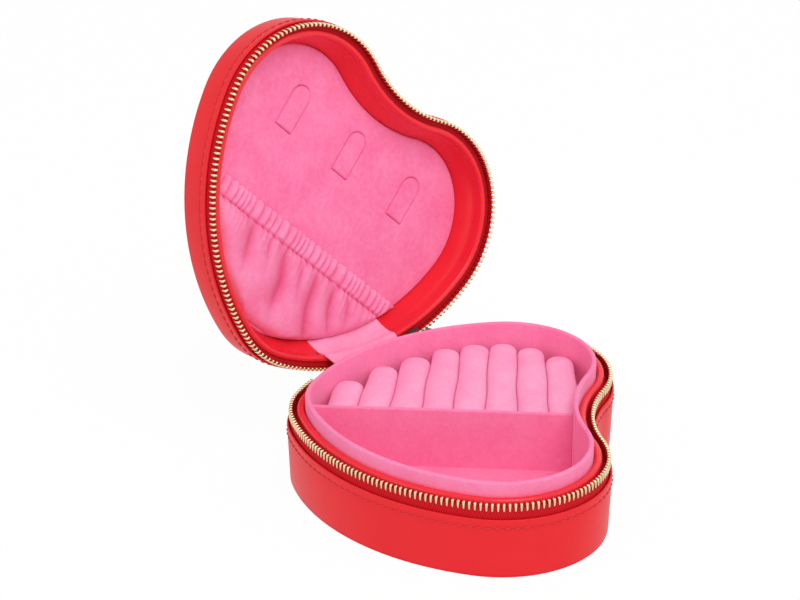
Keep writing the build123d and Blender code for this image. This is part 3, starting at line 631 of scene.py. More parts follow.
def floor_face(spots):
    """The tray floor, whose velvet turns up a little at the wall."""
    return FLOOR_TOP + FLOOR_RISE * np.exp(-edge_distance(spots, [floor_outer]) / FLOOR_RISE_WIDTH)


floor_shape = plate(floor_outer, [], floor_guides, FLOOR_GAP, floor_face, TRAY_FOOT, on_base)
show("tray_floor", floor_shape, tray_pink, "base")

divider_profile = strip(DIVIDER_FRONT, DIVIDER_BACK, FLOOR_TOP, DIVIDER_TOP, 0, DIVIDER_ROUND, 6)
tip_end = -sqrt((TIP_RADIUS - FLOOR_INSET) ** 2 - DIVIDER_BACK**2)
cleft_end = cleft_p - sqrt((CLEFT_RADIUS + FLOOR_INSET) ** 2 - DIVIDER_FRONT**2)
divider_sections = [
    [(p, q + DIVIDER_WAVE * sin(p / DIVIDER_WAVELENGTH), height) for q, height in divider_profile]
    for p in np.linspace(tip_end, cleft_end, DIVIDER_STATIONS)
]
show("tray_divider", loft(divider_sections, on_base), tray_pink, "base")

# Ring bed: a raised card floor under the rolls, covered in the same velvet and glued into the tray.
# It only shows behind the rounded ends of the rolls.
BED_TOP, BED_GAP, BED_OUTLINE_GAP, ROLL_FRONT = 19.4, 5.0, 1.0, 3.55
whole = heart_loop(FLOOR_INSET, BED_OUTLINE_GAP)
bed_outer = whole[whole[:, 1] > ROLL_FRONT]
bed_shape = plate(bed_outer, [], [], BED_GAP, lambda spots: BED_TOP, FLOOR_TOP, on_base)
show("ring_bed", bed_shape, tray_pink, "base")

# Ring rolls: eight firm foam rolls wrapped in velvet, side by side from the divider to the tray's back.
# They fan a little, their tops are round, and their back ends are tucked down like finger tips.
ROLL_COUNT, ROLL_MIDDLE, ROLL_FOOT, ROLL_TOP = 8, 31.0, 19.5, 33.8
ROLL_FRONT_PITCH, ROLL_BACK_PITCH, ROLL_FAN_DEPTH = 14.9, 13.3, 80.0
ROLL_WALL_INSET, ROLL_SIDES, ROLL_STATIONS = 11.05, 28, 52
# How long the tucked end of each roll is, from the tip to the cleft.
ROLL_TUCKS = (9.5, 12.0, 10.0, 6.0, 4.0, 6.0, 11.0, 15.0)
# Shares of a roll's width and height that are left at its end, and of its half width above its shoulder.
END_WIDTH, END_HEIGHT, SHOULDER, LEAST_SHOULDER = 0.3, 0.42, 0.62, 0.4
# How far the seams wander and the tops dip, the length of that wave and its shift from roll to roll.
ROLL_WANDER, WANDER_LENGTH, WANDER_SHIFT = 0.3, 8, 2.1
ROLL_DENT, DENT_LENGTH, DENT_SHIFT = 0.4, 5.5, 1.7
ROLL_CLEAR, SIDE_POWER, CROWN_POWER = 0.02, 0.9, 0.95
# Painted light: the rolls' copy of the velvet is lighter than the tray's, for the light on their tops.
lit_roll_pink = velvet("pink velvet, rolls", "#FF9ECA", "#FFB8DC", 0.3)


def half_width(p, inset):
    """How far the outline's back half stands from the heart's axis."""
    tip, flank, lobe = TIP_RADIUS - inset, FLANK_RADIUS - inset, LOBE_RADIUS - inset
    tip_join = tip * cos(radians(tip_angle))
    lobe_join = LOBE_FORWARD + lobe * cos(radians(lobe_angle))
    at_tip = np.sqrt(np.maximum(tip**2 - np.minimum(p, tip_join) ** 2, 0))
    at_flank = flank_q + np.sqrt(np.maximum(flank**2 - (p - flank_p) ** 2, 0))
    at_lobe = LOBE_APART + np.sqrt(np.maximum(lobe**2 - (np.maximum(p, lobe_join) - LOBE_FORWARD) ** 2, 0))
    return np.where(p < tip_join, at_tip, np.where(p < lobe_join, at_flank, at_lobe))


def roll_pitch(q):
    """The spacing of the rolls, which narrows towards the back."""
    return ROLL_FRONT_PITCH + (ROLL_BACK_PITCH - ROLL_FRONT_PITCH) * (q - ROLL_FRONT) / ROLL_FAN_DEPTH


def roll_seam(number, q):
    """Where neighbouring rolls touch; the hand-wrapped foam makes the line wander a little."""
    wander = ROLL_WANDER * sin(q / WANDER_LENGTH + WANDER_SHIFT * number)
    return ROLL_MIDDLE + roll_pitch(q) * (number - ROLL_COUNT / 2) + wander


def roll_section(number, q, back):
    """A roll's section at a distance q from the heart's axis; it narrows and sinks near its back end."""
    over = max(0.0, 1 - (back - q) / ROLL_TUCKS[number])
    tuck = sqrt(max(0.0, 1 - over**2))
    left, right = roll_seam(number, q), roll_seam(number + 1, q)
    half = (right - left) / 2 * (END_WIDTH + (1 - END_WIDTH) * tuck) - ROLL_CLEAR
    dent = ROLL_DENT * (0.5 + 0.5 * sin(q / DENT_LENGTH + DENT_SHIFT * number))
    crown = ROLL_FOOT + (ROLL_TOP - dent - ROLL_FOOT) * (END_HEIGHT + (1 - END_HEIGHT) * tuck)
    shoulder = max(crown - half * SHOULDER, ROLL_FOOT + LEAST_SHOULDER * (crown - ROLL_FOOT))
    turn = np.linspace(0, pi, ROLL_SIDES)
    side = half * np.sign(np.cos(turn)) * np.abs(np.cos(turn)) ** SIDE_POWER
    rise = shoulder + (crown - shoulder) * np.sin(turn) ** CROWN_POWER
    p = (left + right) / 2 + np.concatenate([[half], side, [-half]])
    height = np.concatenate([[ROLL_FOOT], rise, [ROLL_FOOT]])
    return np.stack([p, np.minimum(q, half_width(p, ROLL_WALL_INSET)), height], 1)


for number in range(ROLL_COUNT):
    step = number - (ROLL_COUNT - 1) / 2
    near = half_width(ROLL_MIDDLE + ROLL_FRONT_PITCH * step, ROLL_WALL_INSET)
    back = half_width(ROLL_MIDDLE + roll_pitch(near) * step, ROLL_WALL_INSET)
    shares = np.sin(np.linspace(0, pi / 2, ROLL_STATIONS))
    sections = [roll_section(number, ROLL_FRONT + (back - ROLL_FRONT) * share, back) for share in shares]
    name = f"ring_roll_{number + 1}"
    roll = show(name, loft(sections, on_base), lit_roll_pink, "base", crease=70.0)

# Zip tapes: woven polyester twill, sewn behind the turned edges of the base and the lid.
# Each tape stands up to its teeth, and is cut low across the hinge.
TAPE_OUTER, TAPE_INNER, SELVEDGE_ROUND = 1.5, 2.1, 0.28
BASE_TAPE_FOOT, BASE_TAPE_TOP, BASE_TAPE_CUT, BASE_SPINE_CUT = 21.5, 34.2, 30.5, 28.2
LID_TAPE_FOOT, LID_TAPE_TOP, LID_TAPE_CUT = 36.6, 45.7, 39.2
BASE_ROW_GAP = 39.0
HINGE_INSET, HINGE_HEIGHT, OPEN_ANGLE = 4.7, 35.9, radians(97)

hinge_x = axis_x * (flank_p - ORIGIN_FORWARD) + axis_y * flank_q
back_y = axis_x * flank_q - axis_y * (flank_p - ORIGIN_FORWARD) + FLANK_RADIUS
hinge_y = back_y - HINGE_INSET


def swing(y, height):
    """A place of the shut lid, in millimetres, taken to where it stands when the lid is open."""
    out, up = y - hinge_y, height - HINGE_HEIGHT
    return (
        hinge_y + out * cos(OPEN_ANGLE) + up * sin(OPEN_ANGLE),
        HINGE_HEIGHT - out * sin(OPEN_ANGLE) + up * cos(OPEN_ANGLE),
    )


def on_lid(p, q, height):
    """Heart coordinates of the lid and a height as when shut, in metres where the open lid stands."""
    shut = on_base(p, q, height) * 1000
    return np.stack([shut[..., 0], *swing(shut[..., 1], shut[..., 2])], -1) / 1000


def twill_tape():
    """Woven polyester twill: fine slanting ribs in deep red, with painted shade in the hollows between them.
    """
    finish, tree = new_finish("red twill tape")
    place = add_node(tree, "ShaderNodeUVMap", {"uv_map": "cloth"})
    # The ribs are finer on the real tape, and are drawn at 0.9 mm so that they show. The UVs are in
    # centimetres, and a wave of scale 1 repeats every 0.314 of them.
    rib_cm, wave_repeat, slant = 0.09, 0.314, radians(35)
    turned = add_node(tree, "ShaderNodeMapping", inputs={"Vector": place, "Rotation": (0, 0, slant)})
    weave = {"Vector": turned, "Scale": wave_repeat / rib_cm, "Distortion": 0.6, "Detail": 1.0}
    ribs = add_node(tree, "ShaderNodeTexWave", inputs=weave).outputs["Fac"]
    # Painted shade and light: the red follows the ribs' relief, darker in their hollows and lighter on their
    # crests.
    shades = {"Factor": ribs, "A": colour("#B60A17"), "B": colour("#E01826")}
    tone = add_node(tree, "ShaderNodeMix", {"data_type": "RGBA"}, shades)
    relief = add_node(tree, "ShaderNodeBump", inputs={"Height": ribs, "Strength": 0.5, "Distance": 0.0003})
    look = {"Base Color": tone, "Roughness": 0.8, "Specular IOR Level": 0.15, "Normal": relief}
    surface = add_node(tree, "ShaderNodeBsdfPrincipled", inputs=look)
    add_node(tree, "ShaderNodeOutputMaterial", inputs={"Surface": surface})
    return finish


def tape_profile(low, high):
    """The tape's section, with a softly rounded selvedge at both edges."""
    return strip(TAPE_OUTER, TAPE_INNER, low, high, SELVEDGE_ROUND, SELVEDGE_ROUND, 3)


red_twill = twill_tape()
tape_walk = cut_walk(SLOT_HALF, BASE_ROW_GAP)
at_spine, at_row_gap = from_hinge(tape_walk) < SLOT_HALF, from_hinge(tape_walk) < BASE_ROW_GAP
base_limits = np.where(at_spine, BASE_SPINE_CUT, np.where(at_row_gap, BASE_TAPE_CUT, BASE_TAPE_TOP))
base_strip = trimmed(tape_profile(BASE_TAPE_FOOT, BASE_TAPE_TOP), base_limits, np.minimum)
base_tape = show("base_zip_tape", ring(tape_walk, base_strip, on_base), red_twill, "base")

lid_limits = np.where(at_spine, LID_TAPE_CUT, LID_TAPE_FOOT)
lid_strip = trimmed(tape_profile(LID_TAPE_FOOT, LID_TAPE_TOP), lid_limits, np.maximum)
lid_tape = show("lid_zip_tape", ring(tape_walk, lid_strip, on_lid), red_twill, "lid")

# Zip teeth: pale brass, stamped and clamped over the edge of each tape, 2.5 mm apart.
# The two rows stand half a pitch apart, so that they mesh when the box is shut.
TOOTH_PITCH, TOOTH_INSET, TOOTH_CORNER = 2.5, 1.8, 0.2
BASE_TEETH, LID_TEETH = 34.4, 36.4
BASE_FIRST_TOOTH, LID_FIRST_TOOTH, LID_ROW_GAP = 16, 9.5, 33.0
# The height, width and depth of a tooth from its clamped foot to its head.
TOOTH_RINGS = (
    (-1.8, 0.8, 1.6),
    (-1.65, 1.0, 1.9),
    (0.1, 1.0, 2.0),
    (0.3, 1.15, 2.0),
    (1.4, 1.15, 1.7),
    (1.7, 0.95, 1.4),
    (1.8, 0.6, 1.0),
)


def tooth(head):
    """A clamped foot and a rounded head; head is 1 where it points along Z and -1 where against it."""
    sections = []
    for height, width, depth in TOOTH_RINGS:
        w, d = width / 2, depth / 2
        cut = TOOTH_CORNER * min(width, depth)
        half = [(w, cut - d), (w, d - cut), (w - cut, d), (cut - w, d)]
        sections.append([(x, y, head * height) for x, y in half + [(-x, -y) for x, y in half]])
    return repeated("tooth", sections[::head])


def metal(name, deep, bright, rough, stain_mm, bare):
    """Stamped or plated metal: bright where polished, dull from handling; lacquer leaves less of it bare."""
    finish, tree = new_finish(name)
    _, stain, tone = mottled(tree, stain_mm, 3.0, deep, bright)
    polish = add_node(
        tree, "ShaderNodeMapRange", inputs={"Value": stain, "To Min": rough + 0.1, "To Max": rough - 0.05}
    )
    look = {"Base Color": tone, "Metallic": bare, "Roughness": polish}
    surface = add_node(tree, "ShaderNodeBsdfPrincipled", inputs=look)
    add_node(tree, "ShaderNodeOutputMaterial", inputs={"Surface": surface})
    return finish


def tooth_row(name, body, first_tooth, last_gap, height, place, head):
    """One row of teeth, from its first tooth to the last before a gap at the hinge."""
    first = first_tooth * TOOTH_PITCH
    count = int((heart_length(TOOTH_INSET) - last_gap - first) / TOOTH_PITCH) + 1
    path, outward = outline_path(first, first + (count - 1) * TOOTH_PITCH, TOOTH_INSET, height, place)
    return fasten(path_row(name, path, outward, count, tooth(head), tooth_brass), body, [name])


tooth_brass = metal("pale polished brass", "#C4A870", "#FFF2D0", 0.18, 1.2, 1.0)
tooth_row("base_zip_teeth", "base", BASE_FIRST_TOOTH, BASE_ROW_GAP, BASE_TEETH, on_base, -1)
tooth_row("lid_zip_teeth", "lid", LID_FIRST_TOOTH, LID_ROW_GAP, LID_TEETH, on_lid, 1)

# Lid covers: the same red coated cloth round the lid's wall and over its top, its turned edge topstitched.
# A slot at the back takes the hinge spine, and the top's edge is softly rounded.
LID_FOOT, LID_EDGE, LID_TOP, LID_LEAN, LID_SLOT_FOOT = 38.3, 40.2, 57.0, 1.1, 45.1
LID_TURNED, LID_TURNED_BACK = COVER + 0.2, COVER + 0.25


def lid_skin(height):
    """The lid wall's inset at a height."""
    return LID_LEAN * (height - LID_FOOT) / (LID_TOP - LID_FOOT)


lid_stitch_height = LID_EDGE + STITCH_DROP
wall_top = LID_TOP - COVER
lid_cover_profile = rounded(
    [
        (lid_skin(LID_EDGE), LID_EDGE, EDGE_ROUND),
        *groove(lid_skin, lid_stitch_height),
        (lid_skin(wall_top), wall_top, SKIN_ROUND),
        (lid_skin(wall_top) + COVER, wall_top, BACK_ROUND),
        (LID_TURNED_BACK, LID_EDGE + TURNED_DEPTH, 0),
        (LID_TURNED, LID_EDGE, EDGE_ROUND),
    ]
)
lid_cover = trimmed(lid_cover_profile, np.where(in_slot, LID_SLOT_FOOT, -np.inf), np.maximum)
show("lid_wall_cover", ring(wall_walk, lid_cover, on_lid), wall_red, "lid")
stitch_row("lid_topstitch", "lid", lid_skin(lid_stitch_height), lid_stitch_height, on_lid)
show("lid_top_cover", turned_plate(LID_LEAN, LID_TOP, wall_top, on_lid), wall_red, "lid")

# Inner band of the lid: stiff card in the red cloth, with a lip that meets the base's and a slope inside.
# It is glued inside the wall board, and the lining panel sits at the top of its slope.
BAND_OUTER, BAND_BACK, LIP_INSET, LIP_FOOT, SLOPE_FOOT = 4.7, 54.0, 7.6, 37.5, 43.3
LIP_OUTER_ROUND, LIP_INNER_ROUND, SLOPE_ROUND = 1.35, 1.45, 5.0
PANEL_INSET, PANEL_FACE = 12.3, 51.1
band_profile = rounded(
    [
        (BAND_OUTER, BAND_BACK, 0),
        (BAND_OUTER, LIP_FOOT, LIP_OUTER_ROUND),
        (LIP_INSET, LIP_FOOT, LIP_INNER_ROUND),
        (LIP_INSET, SLOPE_FOOT, SLOPE_ROUND),
        (PANEL_INSET, PANEL_FACE, 0),
        (PANEL_INSET, BAND_BACK, 0),
    ],
    8,
)
show("lid_inner_band", ring(heart_round, band_profile, on_lid), inner_red, "lid", crease=65.0)

# Lining panel: card covered in velvet with its edge turned over, pressed into the band.
# Three tongues are cut into it to hang necklaces from, and lie in its face.
TAB_PLACES, TAB_ROOT, TAB_LENGTH, TAB_HALF = (-43.8, -1.2, 41.8), 52.0, 22.4, 5.6
TAB_SLIT, TAB_BACK, TAB_LIFT, TAB_GAP = 0.12, 52.4, 0.55, 1.6
SLIT_ROUND, SLIT_GUIDES = 1.25, (0.2, 0.5, 0.85, 1.25)
PANEL_BACK, PANEL_CLEAR, PANEL_GAP = 53.9, 0.15, 3.0
PANEL_ROUND, PANEL_GUIDES = 1.6, (0.25, 0.7, 1.3)
# Painted shade: the lining's copy of the velvet is a little darker than the tray's, for the upright panel in
# the open lid.
shaded_panel_pink = velvet("pink velvet, lining", "#F86EA2", "#FF90BC", 0.3)


def tongue(place, growth):
    """A tab's outline with a straight root and a round free end, grown all round."""
    half, root, shoulder = TAB_HALF + growth, TAB_ROOT - growth, TAB_ROOT + TAB_LENGTH - TAB_HALF
    turn = np.linspace(-pi / 2, pi / 2, 22)
    run = np.linspace(shoulder, root, 16)[1:]
    foot = np.linspace(place + half, place - half, 12)[1:-1]
    p = [shoulder + half * np.cos(turn), run, np.full(len(foot), root), run[::-1]]
    q = [place + half * np.sin(turn), np.full(len(run), place + half), foot, np.full(len(run), place - half)]
    return np.stack([np.concatenate(p), np.concatenate(q)], 1)


panel_outer = heart_loop(PANEL_INSET + PANEL_CLEAR)
panel_guides = [heart_loop(PANEL_INSET + PANEL_CLEAR + inward) for inward in PANEL_GUIDES]
panel_guides += [tongue(place, TAB_SLIT + outward) for place in TAB_PLACES for outward in SLIT_GUIDES]
beds = [tongue(place, TAB_SLIT) for place in TAB_PLACES]


def panel_face(spots):
    """The panel's face, rounded at its edge and softly at the slits."""
    edge = edge_drop(edge_distance(spots, [panel_outer]), PANEL_ROUND)
    return PANEL_FACE + np.maximum(edge, edge_drop(edge_distance(spots, beds), SLIT_ROUND))


panel_shape = plate(panel_outer, beds, panel_guides, PANEL_GAP, panel_face, PANEL_BACK, on_lid)
show("lid_panel", panel_shape, shaded_panel_pink, "lid")

for number, place in enumerate(TAB_PLACES, 1):
    edge = tongue(place, 0)
    tab_guides = [tongue(place, -inward) for inward in SLIT_GUIDES]

    def tab_face(spots):
        """The tab's face, rounded at its edge and lifted a little towards its free end."""
        lift = TAB_LIFT * np.clip((spots[:, 0] - TAB_ROOT) / TAB_LENGTH, 0, 1) ** 2
        return PANEL_FACE + edge_drop(edge_distance(spots, [edge]), SLIT_ROUND) - lift

    tab_shape = plate(edge, [], tab_guides, TAB_GAP, tab_face, TAB_BACK, on_lid)
    show(f"necklace_tab_{number}", tab_shape, shaded_panel_pink, f"tab_{number}")

# Pocket: one cut of velvet, gathered on an elastic in a sewn casing along its mouth and sewn in at the tip.
# Gathers stand along the elastic, and the slack below it hangs in broad soft folds towards the tip.
POCKET_INSET, POCKET_MOUTH, POCKET_SEAM, POCKET_TIP = 13.0, 17.6, 8.3, -30.6
POCKET_ROWS, POCKET_COLUMNS, POCKET_THICK = 120, 320, 0.55
GATHER_PITCH, GATHER_RISE, CASING_RISE, POCKET_PUFF, LEAST_PUFF = 4.3, 1.9, 0.7, 4.9, 0.5
CLOTH_CLEAR, MOUTH_RUFFLE, SEAM_WIDTH, SEAM_PULL = 0.45, 0.5, 0.7, 0.75
# Over how many millimetres the cloth lifts off its sewn edge, the seam and its sides, and a fold fades out.
SEWN_LIFT, SEAM_LIFT, SIDE_LIFT, FOLD_FADE = 3.0, 3.5, 1.2, 4.0
# How high the gathers stand below the seam, how far they and the painted shade between them run, and a fold's
# steep side.
GATHER_FALL, GATHER_REACH, PUCKER_SHADE_REACH, STEEP_SHARE = 2.2, 4.5, 3.0, 0.45
# Each fold: its place on the seam, its lean for each millimetre down, its depth, its width and its reach.
POCKET_FOLDS = (
    (-33.0, 0.19, 3.6, 6.0, 18.0),
    (-20.0, 0.22, 2.6, 4.0, 10.0),
    (-8.0, 0.27, 4.2, 7.5, 30.0),
    (3.0, 0.33, 2.8, 4.0, 12.0),
    (13.0, 0.41, 4.6, 6.0, 36.0),
    (27.0, 0.45, 4.0, 5.0, 22.0),
    (38.0, 0.40, 3.0, 4.0, 12.0),
)
# Painted light: the pocket's copy of the velvet is lighter than the lining's and the tray's.
lit_pocket_pink = velvet("pink velvet, pocket", "#FD84B4", "#FFA6CE", 0.25)
pocket_p = np.linspace(POCKET_MOUTH, POCKET_TIP, POCKET_ROWS)[:, None]
pocket_half = half_width(pocket_p, POCKET_INSET)
pocket_q = np.linspace(-1, 1, POCKET_COLUMNS)[None] * pocket_half
pocket_p = np.broadcast_to(pocket_p, pocket_q.shape)


def gathered(p, q, half):
    """The ruffled mouth, how far the cloth stands off the panel, and the painted shade at each place, deepest
    in creases.
    """
    # Waves of unlike lengths keep the gathers and the slack uneven, as in cloth that is fed by hand.
    wander = 0.34 * np.sin(q / 7.3) + 0.26 * np.sin(q / 3.3 + 1.0) + 0.04 * np.sin(p / 2.0 + q)
    gather = 2 * pi * (q / GATHER_PITCH + wander)
    ruffle = (0.5 + 0.5 * np.sin(gather)) ** 0.7 * (0.85 + 0.15 * np.sin(q / 4.4 + 0.4))
    span = np.clip((p - POCKET_SEAM) / (POCKET_MOUTH - POCKET_SEAM), 0, 1)
    tube = np.sqrt(np.clip(1 - (2 * span - 1) ** 2, 0, 1)) ** 0.6
    below = np.maximum(POCKET_SEAM - p, 0)
    puff = POCKET_PUFF + 0.5 * np.sin(q / 9.0 + 0.6) + 0.4 * np.sin(below / 6.0 + q / 8.0)
    # Painted shade across each fold's valley, strongest at its middle and fading out with the fold.
    line = np.zeros_like(q)
    for place, lean, depth, width, reach in POCKET_FOLDS:
        aside = q - place - lean * below - 0.8 * np.sin(below / 5.0 + place)
        flank = np.where(aside > 0, STEEP_SHARE, 1.0) * width
        fade = 1 / (1 + np.exp((below - reach) / FOLD_FADE))
        puff = puff - depth * fade * np.exp(-np.abs(aside / flank) ** 1.5)
        line = np.maximum(line, fade * np.exp(-np.abs(aside / (0.7 * flank)) ** 1.3))
    sewn = np.minimum(half - np.abs(q), p - POCKET_TIP)
    hold = 1 - np.exp(-np.maximum(sewn, 0) / SEWN_LIFT)
    loose = (1 - np.exp(-below / SEAM_LIFT)) * hold
    slack = loose * np.maximum(puff, LEAST_PUFF)
    slack += GATHER_FALL * ruffle * np.exp(-below / GATHER_REACH) * (below > 0)
    seam = np.exp(-(((p - POCKET_SEAM) / SEAM_WIDTH) ** 2))
    free = (1 - SEAM_PULL * seam) * (1 - np.exp(-(half - np.abs(q)) / SIDE_LIFT))
    rise = CLOTH_CLEAR + (tube * (CASING_RISE + GATHER_RISE * ruffle) + slack) * free
    # Painted shade between the gathers: in the casing, and just below the seam.
    pucker_shade = tube * (1 - ruffle) ** 2 + (1 - ruffle) * np.exp(-below / PUCKER_SHADE_REACH) * (below > 0)
    # Painted shade in all: faint over the loose cloth below the seam, deeper in the folds' valleys, between
    # the gathers and where the seam pinches between them.
    crease = 0.16 * loose + line * loose + 0.8 * pucker_shade + seam * (1 - ruffle)
    return MOUTH_RUFFLE * np.sin(gather) * span**6, rise, np.clip(crease, 0, 1)


def cloth(middle, thickness):
    """A closed cloth round a grid of points in metres, half its thickness in millimetres each way."""
    normal = np.cross(np.gradient(middle, axis=0), np.gradient(middle, axis=1))
    normal /= np.maximum(np.linalg.norm(normal, axis=2, keepdims=True), 1e-12)
    sides = np.stack([middle + normal * thickness / 2000, middle - normal * thickness / 2000])
    count, width = middle.shape[:2]
    number = np.arange(2 * count * width).reshape(2, count, width)
    faces = []
    for layer, turn in ((0, 1), (1, -1)):
        a, b = number[layer, :-1, :-1].ravel(), number[layer, 1:, :-1].ravel()
        c, d = number[layer, 1:, 1:].ravel(), number[layer, :-1, 1:].ravel()
        faces += np.stack([a, b, c, d][::turn], 1).tolist()
    border = [(n, 0) for n in range(count)] + [(count - 1, n) for n in range(1, width)]
    border += [(n, width - 1) for n in range(count - 2, -1, -1)] + [(0, n) for n in range(width - 2, 0, -1)]
    for (i, j), (k, m) in zip(border, border[1:] + border[:1]):
        faces.append([number[0, i, j], number[1, i, j], number[1, k, m], number[0, k, m]])
    return sides.reshape(-1, 3), faces


# The pocket carries its painted shade to the velvet, one value for each point on both faces of the cloth.
pocket_edge, pocket_rise, pocket_crease_shade = gathered(pocket_p, pocket_q, pocket_half)
pocket = show(
    "pocket",
    cloth(on_lid(pocket_p + pocket_edge, pocket_q, PANEL_FACE - pocket_rise), POCKET_THICK),
    lit_pocket_pink,
    "lid",
    ["pocket_casing", "pocket_cloth"],
    crease=80.0,
    crease_shades=np.tile(pocket_crease_shade.ravel(), 2),
)

# Hinge lining: a strip of velvet glued over the base's lip and the lid's slope, taut when the lid is open.
# It is drawn only as when the lid is open; on the box it folds between them as the lid shuts.
LINING_LEFT_LOW, LINING_LEFT_HIGH, LINING_RIGHT = -11.0, -14.5, 28.6
LINING_THICK, LINING_COLUMNS, LINING_ROWS = 0.6, 25, 46
# The inset and height of each turn of the strip, first over the base's lip and then up the lid's slope.
LINING_ON_BASE = ((8.45, FRAME_TOP - 0.6), (7.6, FRAME_TOP + 0.6), (5.2, FRAME_TOP + 0.65))
LINING_ON_LID = (
    (LIP_INSET, LIP_FOOT - 0.6),
    (LIP_INSET + 0.65, LIP_FOOT + 0.9),
    (LIP_INSET + 0.7, SLOPE_FOOT - 1.6),
    (9.9, 46.2),
    (PANEL_INSET + 0.2, PANEL_FACE - 0.35),
)
# Painted light: the hinge strip's copy of the velvet is lighter than the tray's, for the light on the strip.
lit_hinge_pink = velvet("pink velvet, hinge strip", "#FF96C2", "#FFB0D4", 0.3)


def wall_at(x):
    """Where the outer wall stands at a place along the hinge, in millimetres."""
    return back_y - FLANK_RADIUS + np.sqrt(FLANK_RADIUS**2 - (x - hinge_x) ** 2)


def smooth_path(corners, count):
    """A smooth line through corners, by the rule of a Catmull-Rom curve."""
    corners = np.asarray(corners, float)
    guard = np.concatenate([[2 * corners[0] - corners[1]], corners, [2 * corners[-1] - corners[-2]]])
    spot = np.linspace(0, len(corners) - 1 - 1e-9, count)
    span, t = spot.astype(int), (spot % 1)[:, None]
    a, b, c, d = (guard[span + n] for n in range(4))
    return 0.5 * (2 * b + (c - a) * t + (2 * a - 5 * b + 4 * c - d) * t**2 + (3 * b - a - 3 * c + d) * t**3)


def bent_cloth(columns, rows, thickness):
    """A closed cloth whose columns run smoothly through corners in millimetres."""
    return cloth(np.stack([smooth_path(corners, rows) for corners in columns], 1) / 1000, thickness)


lining_columns = []
for share in np.linspace(0, 1, LINING_COLUMNS):
    low = LINING_LEFT_LOW + (LINING_RIGHT - LINING_LEFT_LOW) * share
    high = LINING_LEFT_HIGH + (LINING_RIGHT - LINING_LEFT_HIGH) * share
    corners = [(low, wall_at(low) - inset, height) for inset, height in LINING_ON_BASE]
    corners += [(high, *swing(wall_at(high) - inset, height)) for inset, height in LINING_ON_LID]
    lining_columns.append(corners)
lining_shape = bent_cloth(lining_columns, LINING_ROWS, LINING_THICK)
lining = show("hinge_lining", lining_shape, lit_hinge_pink, None, crease=80.0)
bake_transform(lining)

# Hinge spine: a strip of the red cloth let into both walls at the back, which is the hinge.
# It folds in between them while the lid is open, as drawn here; on the box it lies flat when it is shut.
SPINE_HALF, SPINE_LOW, SPINE_HIGH, SPINE_THICK = 19.0, 22.3, 44.9, 0.8
SPINE_BASE_BEND, SPINE_LID_BEND, SPINE_COLUMNS, SPINE_ROWS = 25.5, 41.5, 25, 56
spine_columns = []
for x in np.linspace(hinge_x - SPINE_HALF, hinge_x + SPINE_HALF, SPINE_COLUMNS):
    skin = wall_at(x) - COVER / 2
    edge_y, edge_z = swing(skin, LID_FOOT)
    out, up = skin - edge_y, edge_z - BASE_EDGE
    # Up the base's wall, in and out again through the gap between the edges, and along the lid's wall.
    turns = [
        (skin - base_skin(SPINE_LOW), SPINE_LOW),
        (skin - base_skin(SPINE_BASE_BEND), SPINE_BASE_BEND),
        (skin, BASE_EDGE),
        (skin - out * 0.55, BASE_EDGE + up * 0.3),
        (edge_y + out * 0.05, BASE_EDGE + up * 0.5),
        (edge_y - 0.25, edge_z - 0.65),
        (edge_y, edge_z),
        swing(skin - lid_skin(SPINE_LID_BEND), SPINE_LID_BEND),
        swing(skin - lid_skin(SPINE_HIGH), SPINE_HIGH),
    ]
    spine_columns.append([(x, *turn) for turn in turns])
spine_shape = bent_cloth(spine_columns, SPINE_ROWS, SPINE_THICK)
spine = show("hinge_spine", spine_shape, wall_red, None, crease=80.0)
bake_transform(spine)

# Zip slider: cast zinc in dark bronze with a pale gold rim along one edge, two plates, a post and two ears.
# It rests at the end of the lid's row beside the hinge, and a pin through the ears carries the pull.
SLIDER_PLACE, SLIDER_HALF, SLIDER_LOW, SLIDER_HIGH = 28.0, 4.5, 33.9, 39.6
# How far out from the wall the two faces of each plate stand.
OUTER_PLATE, INNER_PLATE = (0.25, 1.25), (-3.9, -3.4)
POST_HALF, POST_OUT, POST_TALL = 2.5, 0.3, 0.55
EAR_HALF, EAR_ROOT, EAR_END, EAR_THICK, LOW_EAR, HIGH_EAR = 1.2, 1.1, 3.45, 0.7, 35.4, 38.9
PIN_OUT, PIN_RADIUS, PIN_IN = 2.6, 0.5, 0.1
OUTER_CHAMFER, INNER_CHAMFER, EAR_CHAMFER, SMALL_CHAMFER = 0.22, 0.15, 0.12, 0.1
RIM_RADIUS, RIM_OUT = 0.24, -3.72
# The pale gold rim along the inner plate's edge: places along the chain and heights.
RIM_LINE = ((4.0, 39.35), (1.0, 39.4), (-1.0, 39.2), (-2.6, 38.3), (-4.1, 37.1), (-4.45, 35.6), (-4.2, 34.2))
slider_turn = radians(hinge_angle - degrees(SLIDER_PLACE / FLANK_RADIUS))
dark_bronze = metal("dark bronze on cast zinc", "#57493C", "#7E6F5E", 0.34, 3.0, 0.5)
gold_rim_metal = metal("bronze with a pale gold rim", "#E2B47C", "#FBDCB4", 0.25, 2.0, 0.7)


def on_slider(along, out, height):
    """Places of the slider: along the chain, outwards from the wall and a height as when shut."""
    p = flank_p + (FLANK_RADIUS + out) * cos(slider_turn) + along * sin(slider_turn)
    q = flank_q + (FLANK_RADIUS + out) * sin(slider_turn) - along * cos(slider_turn)
    return on_lid(p, q, height)


def slab(outline, low, high, chamfer, upright=False):
    """A plate with chamfered edges: an outline carried outwards if it is upright, or else upwards."""
    way = outline - outline.mean(0)
    small = outline - way / np.linalg.norm(way, axis=1, keepdims=True) * chamfer
    levels = ((small, low), (outline, low + chamfer), (outline, high - chamfer), (small, high))
    sections = [np.insert(loop, 1 if upright else 2, level, axis=1) for loop, level in levels]
    return loft(sections, on_slider)


def joined(*shapes):
    """Several shapes of points and faces as one."""
    points, faces, count = [], [], 0
    for some, around in shapes:
        points.append(some)
        faces += [[n + count for n in face] for face in around]
        count += len(some)
    return np.concatenate(points), faces


